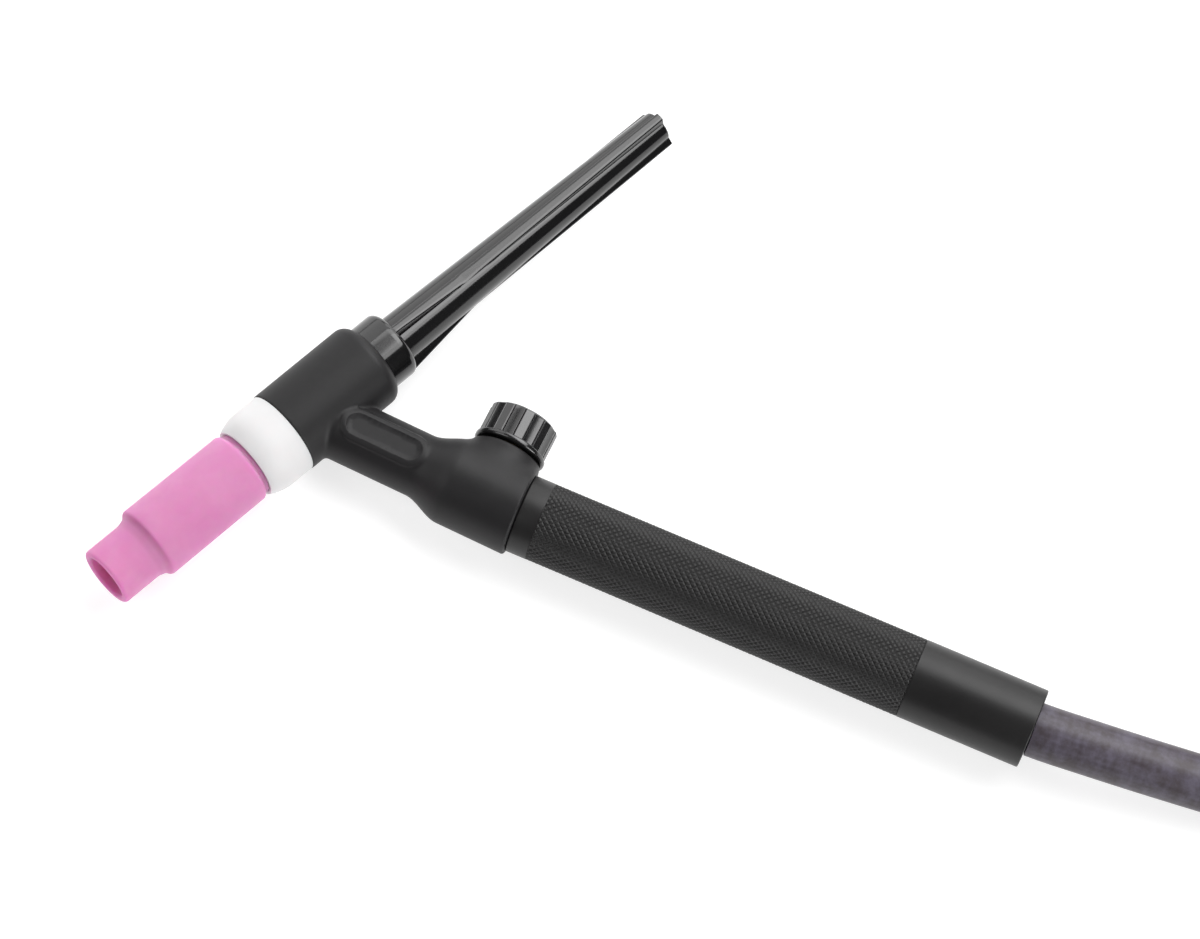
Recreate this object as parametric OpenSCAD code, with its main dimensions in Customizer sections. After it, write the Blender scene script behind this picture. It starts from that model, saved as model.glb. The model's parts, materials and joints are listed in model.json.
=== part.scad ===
// Gas-cooled TIG torch with a hand valve, lying on its side on a bench.
// X runs along the handle towards the hose, +Y towards the back cap, +Z up from the bench.
// Every length is in millimetres.

/* [Torch body] */
// Angle between the head and the neck, degrees
head_angle = 68; // [60:0.5:80]
// Bend between the neck and the handle, degrees
handle_bend = 2.6; // [0:0.2:6]
// Radius of the rubber over the head
head_r = 11.6; // [11:0.1:13]
// From the neck's axis to the front of the head's rubber
head_front = 8.4; // [8.4:0.1:12]
// From the neck's axis to the back of the head's rubber
head_back = 22; // [21:0.5:26]
// Rounding at the back of the head's rubber
head_round = 3.2; // [1:0.1:3.8]
// Radius of the rubber over the neck
neck_r = 8.35; // [7:0.05:9.5]
// From the head's axis to the seam with the handle, along the neck
seam_b = 59.9; // [59:0.1:70]
// Radius of the rubber over the valve
valve_r = 11.4; // [10.5:0.1:12]
// Length of the swelling from the neck to the valve
swell_len = 10; // [6:0.5:12]
// Length of the rubber over the valve, swelling not counted
valve_len = 18.4; // [17:0.2:20]
// Rounding where the rubber ends at the seam
seam_round = 0.8; // [0.2:0.1:1.5]

/* [Name pocket] */
// Half width of the raised pad on each side of the neck
pad_half = 4.6; // [3.5:0.1:5]
// Radius of the pad's face about the neck's axis
pad_top = 8.75; // [8.5:0.05:9.2]
// Half width of the flat pocket in the pad
pocket_half = 3.05; // [2:0.05:3.3]
// Length of the pocket
pocket_len = 20.7; // [15:0.1:22]
// Depth of the pocket
pocket_deep = 0.9; // [0.3:0.05:1.2]
// From the head's axis to the middle of the pocket
pocket_b = 21.2; // [20:0.1:23]

/* [Nozzle] */
// Whole length of the ceramic nozzle
nozzle_len = 48.6; // [44:0.1:56]
// Radius of the mouth's bore
mouth_r = 5.95; // [5:0.05:6.1]
// Outer radius of the slim front length
front_r = 8.05; // [7.2:0.05:8.6]
// Length of the slim front, up to its fillet
front_len = 10.4; // [6:0.1:16]
// Length of the fillet and the step up to the thick length
step_len = 3.4; // [3:0.1:6]
// Outer radius of the thick length at the step
thick_r = 9.95; // [9.6:0.05:10.6]
// Outer radius of the thick length at the gasket
thick_back_r = 9.8; // [9.5:0.05:10.4]
// Radius of the neck that sits in the gasket
nozzle_neck_r = 8.9; // [8.3:0.05:9.2]
// Rounding of the mouth's outer edge
mouth_round = 0.9; // [0.3:0.1:1]
// How far the neck reaches into the gasket
nozzle_seat = 2; // [1.5:0.1:2.5]
// Visible length of the neck in front of the gasket
neck_show = 1.4; // [0.8:0.1:2]

/* [Gasket] */
// Radius of the gasket against the head
gasket_r = 11.5; // [10.8:0.1:12]
// Length of the gasket
gasket_len = 12.6; // [11:0.1:14]
// Rounding of the gasket's front edge
gasket_round = 3.4; // [2:0.1:4]
// Slope of the gasket's side, the radius lost towards the front
gasket_draft = 0.25; // [0:0.05:0.6]

/* [Head core] */
// Outer radius of the brass head core
core_r = 8.8; // [8.4:0.1:9.4]
// Radius of the core's nose inside the gasket
nose_r = 7.5; // [7.4:0.1:8]
// Length of the nose
nose_len = 2.6; // [2:0.1:3.5]
// Depth of the bore for the collet body, from the nose
front_bore_deep = 14; // [12:0.5:17]
// Radius of the passage for the collet
passage_r = 2.55; // [2.4:0.05:3]
// Depth of the bore for the back cap
back_bore_deep = 12.4; // [11:0.2:13.4]
// Depth of the counterbore for the cap's seal
seal_bore_deep = 1.9; // [1.7:0.1:2.4]
// How far the core ends inside the back of the rubber
core_inset = 1.6; // [1:0.1:2.5]

/* [Neck tube and seals] */
// Outer radius of the neck tube
tube_r = 4; // [3.6:0.05:4.2]
// Radius of the neck tube's bore
tube_bore_r = 2.6; // [2:0.05:2.8]
// From the head's axis to the neck tube's seat in the core
tube_seat = 6.4; // [6.3:0.05:7]
// Depth of the neck tube's socket in the valve block
tube_socket = 4; // [2:0.2:5]
// Radius of the back cap's O-ring cord
seal_cord_r = 0.7; // [0.6:0.05:0.8]

/* [Collet body] */
// Radius of the shank in the head core
shank_r = 4.8; // [4.5:0.05:5.5]
// Length of the shank
shank_len = 13.4; // [10:0.1:13.6]
// Radius of the shoulder against the core
shoulder_r = 6.9; // [6.7:0.1:7.1]
// Length of the shoulder
shoulder_len = 4; // [3:0.1:5]
// Radius of the length the nozzle screws on
screw_r = 6.5; // [6.3:0.05:6.6]
// Length of the part the nozzle screws on
screw_len = 16; // [12:0.5:18]
// Radius of the slim tip
tip_r = 5; // [4:0.1:5.4]
// Length of the slim tip
tip_len = 10; // [6:0.5:14]
// Length of the cone at the end of the tip
tip_cone = 4; // [3:0.5:5]
// Radius of the gas holes
gas_hole_r = 0.7; // [0.5:0.05:0.9]

/* [Collet and electrode] */
// Outer radius of the collet
collet_r = 2.25; // [2.1:0.05:2.3]
// Width of the collet's slits
collet_slit = 0.5; // [0.3:0.05:0.7]
// Length of the collet's slits
slit_len = 20; // [10:1:25]
// Radius of the electrode
electrode_r = 1.2; // [0.8:0.05:1.2]
// Length of the electrode
electrode_len = 175; // [160:1:180]
// Length of the electrode's ground point
point_len = 5; // [2:0.5:7]
// How far the electrode's point sits back from the mouth
electrode_back = 5.6; // [5.6:0.1:8]

/* [Back cap] */
// Radius of the cap's collar
collar_r = 9.3; // [9.2:0.05:9.6]
// Length of the collar outside the rubber
collar_len = 7.5; // [6:0.1:10]
// Rounding of the collar's back edge
collar_round = 1; // [0.4:0.1:1.4]
// Radius of the cap's stem behind the collar
cap_root_r = 6.5; // [6:0.05:7]
// Radius of the cap's far end
cap_tip_r = 4.3; // [4.1:0.05:5]
// Length of the stem behind the collar
cap_len = 92.2; // [85:0.1:100]
// Rounding of the cap's far end
cap_round = 0.5; // [0.2:0.1:1]
// Number of fins on the stem
fin_n = 3; // [2:1:4]
// Length of the fins
fin_len = 25; // [15:1:35]
// Width of a fin
fin_w = 3; // [2:0.1:4]
// Turn of the first fin about the cap's axis, degrees
fin_turn = -58; // [-60:1:60]
// Radius of the cap's screwed shank
cap_shank_r = 5.9; // [5.6:0.05:6]
// Length of the cap's screwed shank
cap_shank_len = 8.4; // [7:0.1:8.8]
// Radius of the cap's inner bore
cap_bore_r = 2.4; // [2.2:0.05:2.6]
// Wall at the cap's far end
cap_end_wall = 3; // [2:0.1:6]

/* [Valve] */
// From the head's axis to the knob's axis, along the neck
knob_b = 50; // [49.5:0.1:51]
// Radius of the rubber boss under the knob
boss_r = 9; // [8:0.1:9.3]
// Height of the boss's top above the neck's axis
boss_top = 12.7; // [12.3:0.1:13]
// Radius of the brass valve block
block_r = 7.6; // [7:0.1:8.2]
// Length of the valve block along the neck, up to the seam
block_len = 19.9; // [19:0.1:21]
// Radius of the block's bonnet around the stem
bonnet_r = 5.4; // [5.2:0.1:6]
// Radius of the gas passage
gas_r = 1.6; // [1.2:0.1:1.8]
// Radius of the screwed length of the stem
stem_r = 3; // [2.8:0.05:3.1]
// Radius of the smooth length of the stem
stem_neck_r = 2.4; // [2.2:0.05:2.5]
// Height at which the screwed length starts
stem_low = 2; // [1.9:0.1:2.5]
// Height at which the smooth length starts
stem_mid = 6.3; // [5:0.1:6.3]
// Height of the stem's end inside the knob
stem_high = 20; // [18:0.5:21]
// Height of the seal's seat in the bonnet
gland_low = 7.9; // [7.9:0.1:8.2]
// Radius of the seal's seat in the bonnet
gland_r = 3.9; // [3.8:0.05:4.1]
// Height of the bonnet's top
bonnet_top = 12; // [11.9:0.05:12.1]
// Thickness of the gland nut over the bonnet
nut_h = 0.9; // [0.6:0.05:0.9]
// Depth of the gland nut inside the bonnet
nut_deep = 0.9; // [0.5:0.05:0.9]

/* [Knob] */
// Height of the knob's underside above the neck's axis
knob_low = 13.3; // [13.2:0.1:14]
// Whole height of the knob
knob_h = 10; // [9:0.1:13]
// Radius of the knob's flange
flange_r = 9.6; // [9:0.1:9.8]
// Thickness of the flange
flange_h = 1.5; // [1:0.1:2]
// Radius over the knob's ribs
knob_r = 9.3; // [8.8:0.1:9.5]
// Number of flat ribs round the knob
rib_n = 10; // [8:1:12]
// Width of each rib's flat, degrees round the knob
rib_turn = 21; // [14:1:24]
// Turn of the knob that brings a rib to the front, degrees
knob_turn = 26; // [0:1:45]
// Depth of the hollows between the ribs
hollow_deep = 0.45; // [0.3:0.05:0.7]
// Height of the bevel at the knob's top
knob_bevel = 0.6; // [0.4:0.1:2.2]

/* [Handle] */
// Length of the handle
handle_len = 139.8; // [120:1:160]
// Radius of the handle's front ring
handle_r = 10.25; // [10:0.05:10.8]
// Radius of the handle's plain back length
handle_back_r = 10.4; // [10.2:0.05:11]
// Length of the front ring
ring_len = 5.8; // [4:0.1:10]
// Length of the plain back
plain_len = 32.9; // [25:0.1:40]
// Depth of the knurled band below the rings
knurl_deep = 0.25; // [0.1:0.05:0.5]
// Radius of the handle's bore
handle_bore_r = 7.95; // [7.9:0.05:8.3]
// Length of the rubber spigot inside the handle
spigot_len = 12; // [10:0.5:13]

/* [Hose and its fittings] */
// Outer radius of the hose
hose_r = 7.1; // [6.8:0.05:7.2]
// Radius of the hose's bore
hose_bore_r = 4.3; // [4.25:0.05:4.6]
// Radius of the copper conductor
conductor_r = 2.7; // [2.2:0.05:2.9]
// Depth of the conductor's socket in the nipple
conductor_seat = 6; // [3:0.5:10]
// Radius of the valve block's screwed stub
stub_r = 5; // [4.7:0.05:5.2]
// Length of the stub behind the seam
stub_len = 20; // [19:0.5:22]
// Hose nut, width across its flats
nut_flats = 12.4; // [12.2:0.1:13]
// Length of the hose nut
nut_len = 11; // [10:0.5:13]
// Length of the nut's back wall
nut_wall = 3; // [2:0.5:4]
// Radius of the nipple's neck
nipple_r = 3.4; // [3.2:0.05:3.6]
// Length of the nipple behind its head
nipple_len = 23; // [18:0.5:28]
// Number of barbs on the nipple
barb_n = 4; // [2:1:5]
// Length of one barb
barb_len = 2.6; // [2:0.1:3]
// Length of the crimped ferrule
ferrule_len = 15; // [10:0.5:20]
// Wall of the crimped ferrule
ferrule_wall = 0.55; // [0.4:0.05:0.6]

/* [Coil and plug] */
// Turns of hose in the coil
coil_turns = 6.5; // [6.5:1:7.5]
// Least radius of the hose's middle in the coil
coil_in_r = 67.8; // [60:0.1:72]
// Distance from one turn's middle to the next
coil_pitch = 14.9; // [14.9:0.1:16]
// Thickness of the straps round the coil
strap_t = 1.2; // [0.8:0.1:1.5]
// Width of the straps round the coil
strap_w = 14; // [10:1:16]
// Slack of the straps inside the coil
strap_gap = 0.9; // [0.8:0.1:1.5]
// Radius of the plug's brass pin
pin_r = 6.5; // [6.4:0.05:7]
// Length of the pin outside the sleeve
pin_len = 24; // [22:0.5:28]
// Radius of the pin's root inside the sleeve
pin_root_r = 8; // [7.5:0.1:8.5]
// Length of the pin's root inside the sleeve
pin_root_len = 22; // [15:1:30]
// Radius of the pin's gas bore
pin_bore_r = 2; // [1.5:0.1:2.5]
// From the sleeve's face to the bayonet lug
lug_at = 14; // [8:0.5:15]
// Width of the bayonet lug
lug_w = 5; // [3:0.5:6]
// Length of the bayonet lug
lug_len = 4; // [3:0.5:5]
// Height of the bayonet lug
lug_h = 2; // [1:0.1:2.5]
// Radius of the cord of the plug's O-ring
pin_seal_r = 0.8; // [0.6:0.05:1]
// Greatest radius of the plug's rubber sleeve
sleeve_r = 13.5; // [12:0.1:15]
// Radius of the sleeve at the hose
sleeve_back_r = 10; // [9.5:0.1:11]
// Length of the sleeve
sleeve_len = 58; // [50:1:70]
// Number of grip grooves round the sleeve
grip_n = 6; // [3:1:7]
// Distance between two grip grooves
grip_pitch = 4; // [3:0.5:4]

/* [Clearances] */
// Around pieces that slide or turn in a bore
run_gap = 0.1; // [0.05:0.01:0.15]
// Around pieces that are fixed in a bore
fix_gap = 0.05; // [0.03:0.01:0.08]
// Between faces that nearly meet
face_gap = 0.1; // [0.05:0.01:0.3]

/* [Hidden] */

round_fn = 96;
// How far a cutter runs past a face, and how far joined solids run into each other.
over = 1;
seal_mid_r = cap_shank_r + run_gap + seal_cord_r;
seal_out_r = seal_mid_r + seal_cord_r + run_gap;
stem_seal_r = (gland_r - stem_neck_r) / 2 - run_gap / 2;
stem_seal_mid = (gland_r + stem_neck_r) / 2;
head_azimuth = head_angle - handle_bend;
cross_r = gas_r + 0.6;
needle_r = gas_r - 0.2;

// Places along the head's axis, from the neck's axis; positive towards the back cap.
gasket_tip = -head_front - gasket_len;
nozzle_back = gasket_tip + nozzle_seat;
nozzle_tip = nozzle_back - nozzle_len;
nozzle_root = gasket_tip - neck_show;
core_tip = -head_front - nose_len;
core_end = head_back - core_inset;
shoulder_tip = core_tip - shoulder_len;
screw_tip = shoulder_tip - screw_len;
body_tip = screw_tip - tip_len;
cap_nose = core_end + face_gap * 2 - cap_shank_len;
collet_end = cap_nose - face_gap;
collet_tip = body_tip + tip_cone * 0.7;
collar_front = core_end + face_gap * 2;
collar_back = head_back + collar_len;
cap_end = collar_back + cap_len;
electrode_tip = nozzle_tip + electrode_back;
core_front_end = core_tip + front_bore_deep;
core_back_start = core_end - back_bore_deep;

// Places along the neck and round the bend at the seam, where the neck's and handle's lines part.
block_start = seam_b - block_len;
block_end = seam_b - 2 * over;
stub_root = -4 * over;

// Places along the handle, from the seam.
nut_start = spigot_len + over;
nipple_head = stub_len + face_gap;
nut_end = nut_start + nut_len;
hose_start = nut_end + over;

// The neck's line swings down by handle_bend; the seam is where it meets the handle's line.
seam_x = seam_b * cos(handle_bend);
seam_y = -seam_b * sin(handle_bend);
handle_end_x = seam_x + handle_len;

// Reach of the nozzle's rounded mouth and of the cap's rounded end from the crossing.
mouth_s = -nozzle_tip - mouth_round;
mouth_ring = front_r - mouth_round;
low_x = -mouth_s * cos(head_azimuth) - mouth_ring * sin(head_azimuth) - mouth_round;
low_y = -mouth_s * sin(head_azimuth) - mouth_ring * cos(head_azimuth) - mouth_round;
cap_s = cap_end - cap_round;
high_y = cap_s * sin(head_azimuth) + (cap_tip_r - cap_round) * cos(head_azimuth) + cap_round;

// The crossing of the neck's and head's axes, with the origin under the middle of the torch.
corner_at = [-(low_x + handle_end_x) / 2, -(low_y + high_y) / 2, head_r];
seam = corner_at + [seam_x, seam_y, 0];
exit = seam + [handle_len, 0, 0];

// The hose from the handle's end to the coil: steps from the exit, chosen by hand.
run_steps = [
    [0, 0, 0], [14, 1.2, -0.3], [34, 3.8, -2.2], [56, 7, -4], [80, 10.8, -4.3], [106, 14, -3.5],
    [122, 14.4, -3.2]
];
// The hose from the coil to the plug: steps from the coil's end, chosen by hand.
tail_steps = [
    [0, 0, 0], [-14, 0.4, -0.8], [-32, 1.6, -4.4], [-50, 3, -8.4], [-64, 3.6, -9.6], [-80, 3.8, -9.7]
];

half_turns = coil_turns / 2;
coil_out_r = coil_in_r + coil_pitch * half_turns;
coil_step = 24;
hose_d = 2 * hose_r;
run_points = [for (p = run_steps) exit + p];
coil_start = run_points[len(run_points) - 1] + [hose_d, 0, 0];
coil_mid = coil_start + [0, coil_out_r, 0];
function ease(t) = t * t * (3 - 2 * t);
function clamp01(t) = min(1, max(0, t));
function coil_r(t) = coil_in_r + coil_pitch * abs(t - half_turns);
function coil_z(t) = coil_pitch * ease(clamp01((t - half_turns + 0.25) * 2));
function coil_at(t) = coil_mid + [coil_r(t) * sin(t * 360), -coil_r(t) * cos(t * 360), coil_z(t)];
turns = [for (i = [0:coil_turns * coil_step]) coil_at(i / coil_step)];
coil_end = coil_at(coil_turns) - [hose_d, 0, 0];
coil_points = concat([coil_start - [hose_d, 0, 0]], turns, [coil_end]);
tail_points = [for (p = tail_steps) coil_end + p];
plug_at = tail_points[len(tail_points) - 1];

// Least gap between the coil and itself: points over half a turn apart along the hose.
function near_gap(i) = min([for (j = [i + coil_step / 2:len(turns) - 1]) norm(turns[i] - turns[j])]) - hose_d;
coil_gap = min([for (i = [0:len(turns) - coil_step / 2 - 1]) near_gap(i)]);
function path_len(p, i = 1) = i < len(p) ? norm(p[i] - p[i - 1]) + path_len(p, i + 1) : 0;
echo(coil_least_gap = coil_gap);
echo(hose_length = path_len(run_points) + path_len(coil_points) + path_len(tail_points));
echo(bend_least_radius = coil_in_r);

// Frames: each puts local +Z on its axis. At rest all axes lie in the torch's middle plane.
module on_head(s = 0) {
    translate(corner_at) rotate([0, 90, head_azimuth]) translate([0, 0, s]) children();
}
module on_neck(b = 0) {
    translate(corner_at) rotate([0, 90, -handle_bend]) translate([0, 0, b]) children();
}
module on_knob(h = 0) {
    translate(corner_at) rotate([0, 0, -handle_bend]) translate([knob_b, 0, 0])
        rotate([0, 90, 90]) translate([0, 0, h]) children();
}
module on_handle(u = 0) {
    translate(seam) rotate([0, 90, 0]) translate([0, 0, u]) children();
}
module on_plug(v = 0) {
    translate(plug_at) rotate([0, -90, 0]) translate([0, 0, v]) children();
}

// Solids round the local Z axis: a cylinder and a cone between two places, and a ring of round cord.
module rod(r, low, high) {
    translate([0, 0, low]) cylinder(r = r, h = high - low, $fn = round_fn);
}
module cone(r1, r2, low, high) {
    translate([0, 0, low]) cylinder(r1 = r1, r2 = r2, h = high - low, $fn = round_fn);
}
module ring(r_mid, r_cord, at) {
    translate([0, 0, at]) rotate_extrude($fn = round_fn) translate([r_mid, 0]) circle(r = r_cord, $fn = 32);
}
// Quarter arc from angle a1 to a2 about c, as outline points.
function arc(c, r, a1, a2, n = 6) = [for (i = [0:n])
    let (a = a1 + (a2 - a1) * i / n) c + r * [cos(a), sin(a)]];

// Rubber: the head, the neck with the swelling for the valve, the boss and the spigot.
module head_rubber() {
    rotate_extrude($fn = round_fn) polygon(concat(
        [[0, -head_front], [head_r, -head_front]],
        arc([head_r - head_round, head_back - head_round], head_round, 0, 90),
        [[0, head_back]]));
}
function swell_r(t) = neck_r + (valve_r - neck_r) * ease(t);
module neck_rubber() {
    swell_b = seam_b - valve_len - swell_len;
    steps = 10;
    rotate_extrude($fn = round_fn) polygon(concat(
        [[0, 0], [neck_r, 0]],
        [for (i = [0:steps]) [swell_r(i / steps), swell_b + swell_len * i / steps]],
        [[valve_r, seam_b + over], [0, seam_b + over]]));
}
// What is cut off at the seam, so that the rubber ends square to the handle with a small bevel.
module seam_cut() {
    clear_r = valve_r + over;
    spigot_r = handle_bore_r - fix_gap;
    rotate_extrude($fn = round_fn) polygon([
        [spigot_r, 0], [valve_r - seam_round, 0], [clear_r, -seam_round - over],
        [clear_r, 2 * over], [spigot_r, 2 * over]]);
}
// A pad on one side of the neck: a stadium in plan whose face is curved about the neck's axis.
module pad(side) {
    pad_low = side > 0 ? 0 : -pad_top;
    len = pocket_len + 2 * (pad_half - pocket_half);
    intersection() {
        translate([0, 0, pad_low]) linear_extrude(pad_top + over) stadium(len, pad_half);
        rotate([0, 90, 0]) rod(pad_top, -len, len);
    }
}
module stadium(len, half) {
    square([len - 2 * half, 2 * half], center = true);
    for (e = [-1, 1]) translate([e * (len / 2 - half), 0]) circle(r = half, $fn = 64);
}
module in_pocket_plane() {
    translate(corner_at) rotate([0, 0, -handle_bend]) translate([pocket_b, 0, 0]) children();
}
module torch_body() {
    color([0.12, 0.12, 0.13]) difference() {
        union() {
            on_head() head_rubber();
            on_neck() neck_rubber();
            on_knob() rod(boss_r, 0, boss_top);
            on_handle() rod(handle_bore_r - fix_gap, -2 * over, spigot_len);
            in_pocket_plane() for (side = [-1, 1]) pad(side);
        }
        in_pocket_plane() for (side = [-1, 1])
            translate([0, 0, side > 0 ? pad_top - pocket_deep : -pad_top - pocket_deep])
                linear_extrude(2 * pocket_deep) stadium(pocket_len, pocket_half);
        on_handle() seam_cut();
        on_head() rod(core_r + fix_gap, -head_front - over, core_end);
        on_head() rod(collar_r + run_gap * 2, core_end - fix_gap, head_back + over);
        on_neck() rod(tube_r + fix_gap, 0, block_start);
        on_neck() rod(block_r + fix_gap, block_start - fix_gap, block_end);
        on_handle() rod(stub_r + fix_gap, stub_root, spigot_len + over);
        on_knob() rod(bonnet_r + fix_gap, 0, boss_top + over);
    }
}

// Brass core of the head, with the bores for the collet body and the cap and a side gas hole.
module head_core() {
    color([0.76, 0.62, 0.33]) difference() {
        on_head() union() {
            rod(nose_r, core_tip, 0);
            rod(core_r, -head_front, core_end);
        }
        on_head() {
            rod(shank_r + fix_gap, core_tip - over, core_front_end);
            rod(passage_r, core_tip, core_end);
            rod(cap_shank_r + run_gap, core_back_start, core_end + over);
            rod(seal_out_r, core_end - seal_bore_deep, core_end + over);
        }
        on_neck() rod(tube_r + fix_gap, tube_seat, core_r + tube_r);
        on_neck() rod(gas_r, 0, core_r);
    }
}
module neck_tube() {
    color([0.78, 0.45, 0.3]) on_neck() difference() {
        rod(tube_r, tube_seat + face_gap, block_start + tube_socket - face_gap);
        rod(tube_bore_r, 0, seam_b);
    }
}

// Brass valve block: cross bore for the stem, gas passage, bonnet, screwed stub for the hose nut.
module valve_block() {
    color([0.76, 0.62, 0.33]) difference() {
        union() {
            on_neck() rod(block_r, block_start, block_end - face_gap);
            on_knob() rod(bonnet_r, 0, bonnet_top);
            on_handle() rod(stub_r, stub_root + face_gap, stub_len);
        }
        on_neck() rod(tube_r + fix_gap, block_start - over, block_start + tube_socket);
        on_neck() rod(gas_r, block_start, knob_b);
        on_handle() rod(gas_r, knob_b - seam_b, stub_len + over);
        on_knob() {
            rod(cross_r, -gas_r - over, stem_low);
            rod(stem_r + run_gap, stem_low - 4 * face_gap, bonnet_top + over);
            rod(gland_r, gland_low, bonnet_top + over);
        }
    }
}
module gland_nut() {
    color([0.76, 0.62, 0.33]) on_knob() difference() {
        union() {
            rod(bonnet_r - fix_gap, bonnet_top + face_gap, bonnet_top + nut_h);
            rod(gland_r - fix_gap, bonnet_top - nut_deep, bonnet_top + nut_h);
        }
        rod(stem_neck_r + run_gap, 0, boss_top + over);
    }
}
module stem_o_ring() {
    color([0.08, 0.08, 0.08]) on_knob() ring(stem_seal_mid, stem_seal_r, gland_low + stem_seal_r + run_gap);
}
module valve_stem() {
    needle_tip_r = 0.3;
    color([0.8, 0.68, 0.4]) on_knob() {
        cone(needle_tip_r, needle_r, -needle_r, stem_low);
        rod(stem_r, stem_low + face_gap, stem_mid);
        rod(needle_r, stem_low - face_gap, stem_low + over);
        rod(stem_neck_r, stem_mid - over, stem_high);
    }
}

// Fluted knob: flat ribs with round hollows between them, a flange below and a bevelled top.
// A hollow's circle passes through the corners of the two flats beside it.
module rib_outline(r) {
    flat_at = r * cos(rib_turn / 2);
    hollow_turn = 360 / rib_n - rib_turn;
    rise = r * cos(hollow_turn / 2) - (r - hollow_deep);
    hollow_r = (pow(rise, 2) + pow(r * sin(hollow_turn / 2), 2)) / (2 * rise);
    difference() {
        circle(r = flat_at / cos(180 / rib_n), $fn = rib_n);
        for (i = [0:rib_n - 1]) rotate(i * 360 / rib_n)
            translate([r + hollow_r - hollow_deep, 0]) circle(r = hollow_r, $fn = round_fn);
    }
}
module valve_knob() {
    body_top = knob_low + knob_h;
    bevel_r = knob_r - hollow_deep - 0.3;
    bevel_in = knob_bevel * 0.6;
    color([0.1, 0.1, 0.11]) on_knob() difference() {
        union() {
            rod(flange_r - flange_h / 2, knob_low, knob_low + flange_h);
            ring(flange_r - flange_h / 2, flange_h / 2, knob_low + flange_h / 2);
            translate([0, 0, knob_low + flange_h / 2])
                linear_extrude(knob_h - flange_h / 2 - knob_bevel) rotate(knob_turn) rib_outline(knob_r);
            cone(bevel_r, bevel_r - bevel_in, body_top - knob_bevel, body_top);
        }
        rod(stem_neck_r + fix_gap, 0, stem_high + face_gap);
    }
}

// Copper collet body: shank, shoulder, screwed length and a tapered tip with gas holes.
module collet_body() {
    holes = 4;
    tip_end_r = collet_r + 1;
    color([0.8, 0.5, 0.32]) on_head() difference() {
        union() {
            rod(shank_r, core_tip, core_tip + shank_len);
            rod(shoulder_r, shoulder_tip, core_tip - fix_gap);
            rod(shank_r, shoulder_tip, core_tip);
            rod(screw_r, screw_tip, shoulder_tip);
            rod(tip_r, body_tip + tip_cone, screw_tip);
            cone(tip_end_r, tip_r, body_tip, body_tip + tip_cone);
        }
        rod(collet_r + run_gap, body_tip + tip_cone, core_end);
        cone(electrode_r + run_gap * 2, collet_r + run_gap, body_tip + tip_cone / 2, body_tip + tip_cone);
        rod(electrode_r + run_gap * 2, body_tip - over, body_tip + tip_cone);
        for (i = [0:holes - 1]) rotate(45 + i * 360 / holes)
            translate([0, 0, (body_tip + tip_cone + screw_tip) / 2]) rotate([0, 90, 0])
                cylinder(r = gas_hole_r, h = tip_r + over, $fn = 24);
    }
}
module collet() {
    taper = 3;
    nose = collet_r - 0.6;
    color([0.78, 0.52, 0.36]) on_head() difference() {
        union() {
            rod(collet_r, collet_tip + taper, collet_end);
            cone(nose, collet_r, collet_tip, collet_tip + taper);
        }
        rod(electrode_r + fix_gap * 2, collet_tip - over, collet_end + over);
        for (turn = [0, 90]) rotate(turn) translate([-collet_slit / 2, -collet_r - over, collet_tip - over])
            cube([collet_slit, 2 * (collet_r + over), slit_len + over]);
    }
}
module electrode() {
    point_r = 0.15;
    color([0.62, 0.63, 0.66]) on_head() {
        cone(point_r, electrode_r, electrode_tip, electrode_tip + point_len);
        rod(electrode_r, electrode_tip + point_len, electrode_tip + electrode_len);
    }
}

// White gasket with a seat for the nozzle in front and one for the core's nose behind.
module gasket() {
    front_side = gasket_r - gasket_draft;
    color([0.93, 0.93, 0.92]) on_head() difference() {
        rotate_extrude($fn = round_fn) polygon(concat(
            [[0, gasket_tip]],
            arc([front_side - gasket_round, gasket_tip + gasket_round], gasket_round, -90, 0),
            [[gasket_r, -head_front], [0, -head_front]]));
        rod(nozzle_neck_r + fix_gap, gasket_tip - over, nozzle_back + face_gap);
        rod(nose_r + fix_gap, core_tip - face_gap, 0);
        rod(shoulder_r + fix_gap, gasket_tip, 0);
    }
}

// Pink ceramic nozzle, stepped outside, with a wide bore at the back for the collet body.
module nozzle() {
    step_start = nozzle_tip + front_len;
    step_end = step_start + step_len;
    shoulder_round = 1;
    back_round = 1.1;
    fillet_n = 8;
    fillet_share = 0.65;
    fillet_len = step_len - 1.2 * shoulder_round;
    fillet_lift = (thick_r - front_r) * fillet_share;
    fillet = [for (i = [0:fillet_n]) let (t = i / fillet_n)
        [front_r + fillet_lift * t * t, step_start + fillet_len * t]];
    color([0.87, 0.5, 0.72]) on_head() difference() {
        rotate_extrude($fn = round_fn) polygon(concat(
            [[0, nozzle_tip]],
            arc([front_r - mouth_round, nozzle_tip + mouth_round], mouth_round, -90, 0),
            fillet,
            arc([thick_r - shoulder_round, step_end], shoulder_round, -35, 0, 4),
            arc([thick_back_r - back_round, nozzle_root - back_round], back_round, 0, 75, 4),
            [[nozzle_neck_r, nozzle_root], [nozzle_neck_r, nozzle_back], [0, nozzle_back]]));
        rod(mouth_r, nozzle_tip - over, nozzle_back + over);
        rod(screw_r + run_gap, screw_tip - 3 * over, nozzle_back + over);
    }
}

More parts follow.
